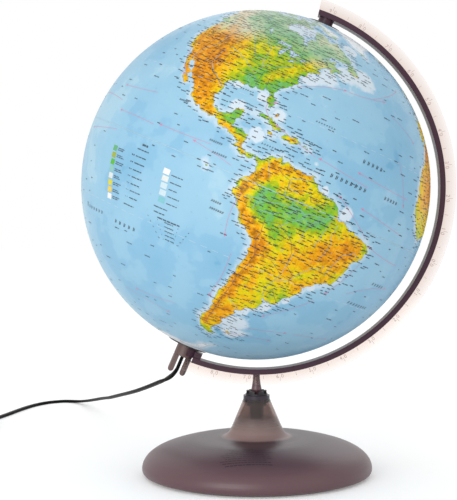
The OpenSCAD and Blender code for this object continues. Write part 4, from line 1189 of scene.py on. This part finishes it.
# small print on the base: plain bars in place of words, laid on the shell
shell_mesh = nodes["base_shell"].data
shell = BVHTree.FromPolygons([v.co for v in shell_mesh.vertices],
                             [tuple(f.vertices) for f in shell_mesh.polygons])
ROWS, ROW_GAP, BAR_H, PRINT_LIFT = 9, 0.0034, 0.001, 0.00006
bv, bf = [], []
for row in range(ROWS):
    y = -0.056 - row * ROW_GAP
    x = -0.024 + 0.002 * (row % 3) + (0.007 if row < 2 else 0.0)
    end = x + (0.020 if row < 2 else 0.037)
    while x < end:
        w = rnd.uniform(0.0012, 0.0040)
        k = len(bv)
        low, high = y - BAR_H / 2, y + BAR_H / 2
        for px, py in ((x, low), (x + w, low), (x + w, high), (x, high)):
            hit, normal, _, _ = shell.ray_cast(Vector((px - 0.006, py, 0.1)), Vector((0, 0, -1)))
            bv.append(hit + normal * PRINT_LIFT)
        bf.append((k, k + 1, k + 2, k + 3))
        x += w + 0.0007
base_print = new_mesh("base_print", bv, bf, False)
dress(base_print, ink("base_ink", (36, 24, 32), 1.0))
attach(base_print, "base")

# lampholder: black neck with a brown rib on each side that runs on into its release tab
holder = material("lampholder_plastic", (0.014, 0.010, 0.012), 0.42, bump=0.08, spec=0.4)
rib = split(holder, tuple(C), tuple(UX), 0.0036, 0.0037)
tint_by(holder, rib, (0.100, 0.058, 0.052))
dress(nodes["lampholder_body"], holder)
for name in ("meridian_arc", "stem", "base_shell", "lampholder_body"):
    smooth_node(name, 25)

# ------------------------------------------------------------------ latitude scale on the web
scale_ink = ink("scale_ink", (172, 150, 144), 1.0)
FACE_Y = -0.00806       # just in front of the web's face
DIGIT = 0.0033          # height of a digit
FOOT = 0.0006           # gap from the hoop to the digits


def at_web(turn, radial, along):
    """A point on the front of the web: turn is the latitude in degrees, radial is metres outside the hoop."""
    a = math.radians(turn)
    out = UX * math.cos(a) + AX * math.sin(a)
    way = AX * math.cos(a) - UX * math.sin(a)
    q = HC + out * (HOOP + radial) + way * along
    return Vector((q.x, FACE_Y, q.z))


def digit_mesh(ch):
    """A digit as flat faces, centred over its foot and DIGIT high."""
    cu = bpy.data.curves.new("glyph", "FONT")
    cu.body = ch
    cu.resolution_u = 3
    ob = bpy.data.objects.new("glyph", cu)
    bpy.context.scene.collection.objects.link(ob)
    dg = bpy.context.evaluated_depsgraph_get()
    me = ob.evaluated_get(dg).to_mesh()
    pts = [(v.co.x, v.co.y) for v in me.vertices]
    polys = [tuple(f.vertices) for f in me.polygons]
    bpy.data.objects.remove(ob)
    bpy.data.curves.remove(cu)
    x0, x1 = min(p[0] for p in pts), max(p[0] for p in pts)
    y0, y1 = min(p[1] for p in pts), max(p[1] for p in pts)
    k = DIGIT / (y1 - y0)
    return [((x - (x0 + x1) / 2) * k, (y - y0) * k) for x, y in pts], polys


glyphs = {ch: digit_mesh(ch) for ch in "0123456789"}
sv, sf = [], []


def tick(turn, r0, r1, w=0.00032):
    """A stroke across the web from r0 to r1 outside the hoop."""
    k = len(sv)
    sv.extend([at_web(turn, r, along) for r, along in
               ((r0, -w / 2), (r1, -w / 2), (r1, w / 2), (r0, w / 2))])
    sf.append((k, k + 1, k + 2, k + 3))


for turn in range(-85, 91, 5):
    if turn % 10:
        tick(turn, 0.0008, 0.0038)
        continue
    tick(turn, 0.0028, 0.0064)
    tens = str(abs(turn) // 10)
    for ch, x0 in ((tens, -0.0021), ("0", 0.0021)):
        pts, polys = glyphs[ch]
        k = len(sv)
        if turn >= 0:       # read clockwise, tops outwards
            sv.extend([at_web(turn, FOOT + y, -x0 - x) for x, y in pts])
        else:               # read the other way, tops towards the ball
            sv.extend([at_web(turn, FOOT + DIGIT - y, x0 + x) for x, y in pts])
        sf.extend([tuple(k + i for i in f) for f in polys])
scale_marks = new_mesh("latitude_scale", sv, sf, False)
dress(scale_marks, scale_ink)
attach(scale_marks, "meridian")

# ------------------------------------------------------------------ lead, with the switch and the plug on it
dress(lead, M["pvc"])
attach(lead, "meridian")
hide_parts("cord_lead", "cord_mid", "cord_coil", "cord_tail")

# ------------------------------------------------------------------ floor and light
floor_mat = bpy.data.materials.new("floor")
floor_mat.use_nodes = True
fp = floor_mat.node_tree.nodes["Principled BSDF"]
fp.inputs["Base Color"].default_value = (0.80, 0.80, 0.80, 1)
fp.inputs["Roughness"].default_value = 0.9
fp.inputs["Emission Color"].default_value = (1, 1, 1, 1)
fp.inputs["Emission Strength"].default_value = 0.20
floor = new_mesh("floor", [(-6, -6, 0), (6, -6, 0), (6, 6, 0), (-6, 6, 0)], [(0, 1, 2, 3)], False)
floor.data.materials.append(floor_mat)

world = bpy.data.worlds.new("world")
bpy.context.scene.world = world
world.use_nodes = True
bg = world.node_tree.nodes["Background"]
bg.inputs["Color"].default_value = (1, 1, 1, 1)
bg.inputs["Strength"].default_value = 1.0


def area(name, loc, aim, size, watts):
    d = bpy.data.lights.new(name, "AREA")
    d.shape = "RECTANGLE"
    d.size, d.size_y = size
    d.energy = watts
    o = bpy.data.objects.new(name, d)
    o.location = loc
    o.rotation_mode = "QUATERNION"
    o.rotation_quaternion = (Vector(aim) - Vector(loc)).to_track_quat("-Z", "Y")
    bpy.context.scene.collection.objects.link(o)


area("key", (-1.0, -2.0, 0.45), (0, 0, 0.25), (1.6, 1.6), 32)
area("fill", (1.6, -1.2, 1.0), (0, 0, 0.2), (1.4, 1.4), 1.5)
area("rim", (0.4, 1.8, 1.2), (0, 0, 0.2), (1.6, 1.0), 3)

bpy.context.scene.view_settings.view_transform = "Standard"
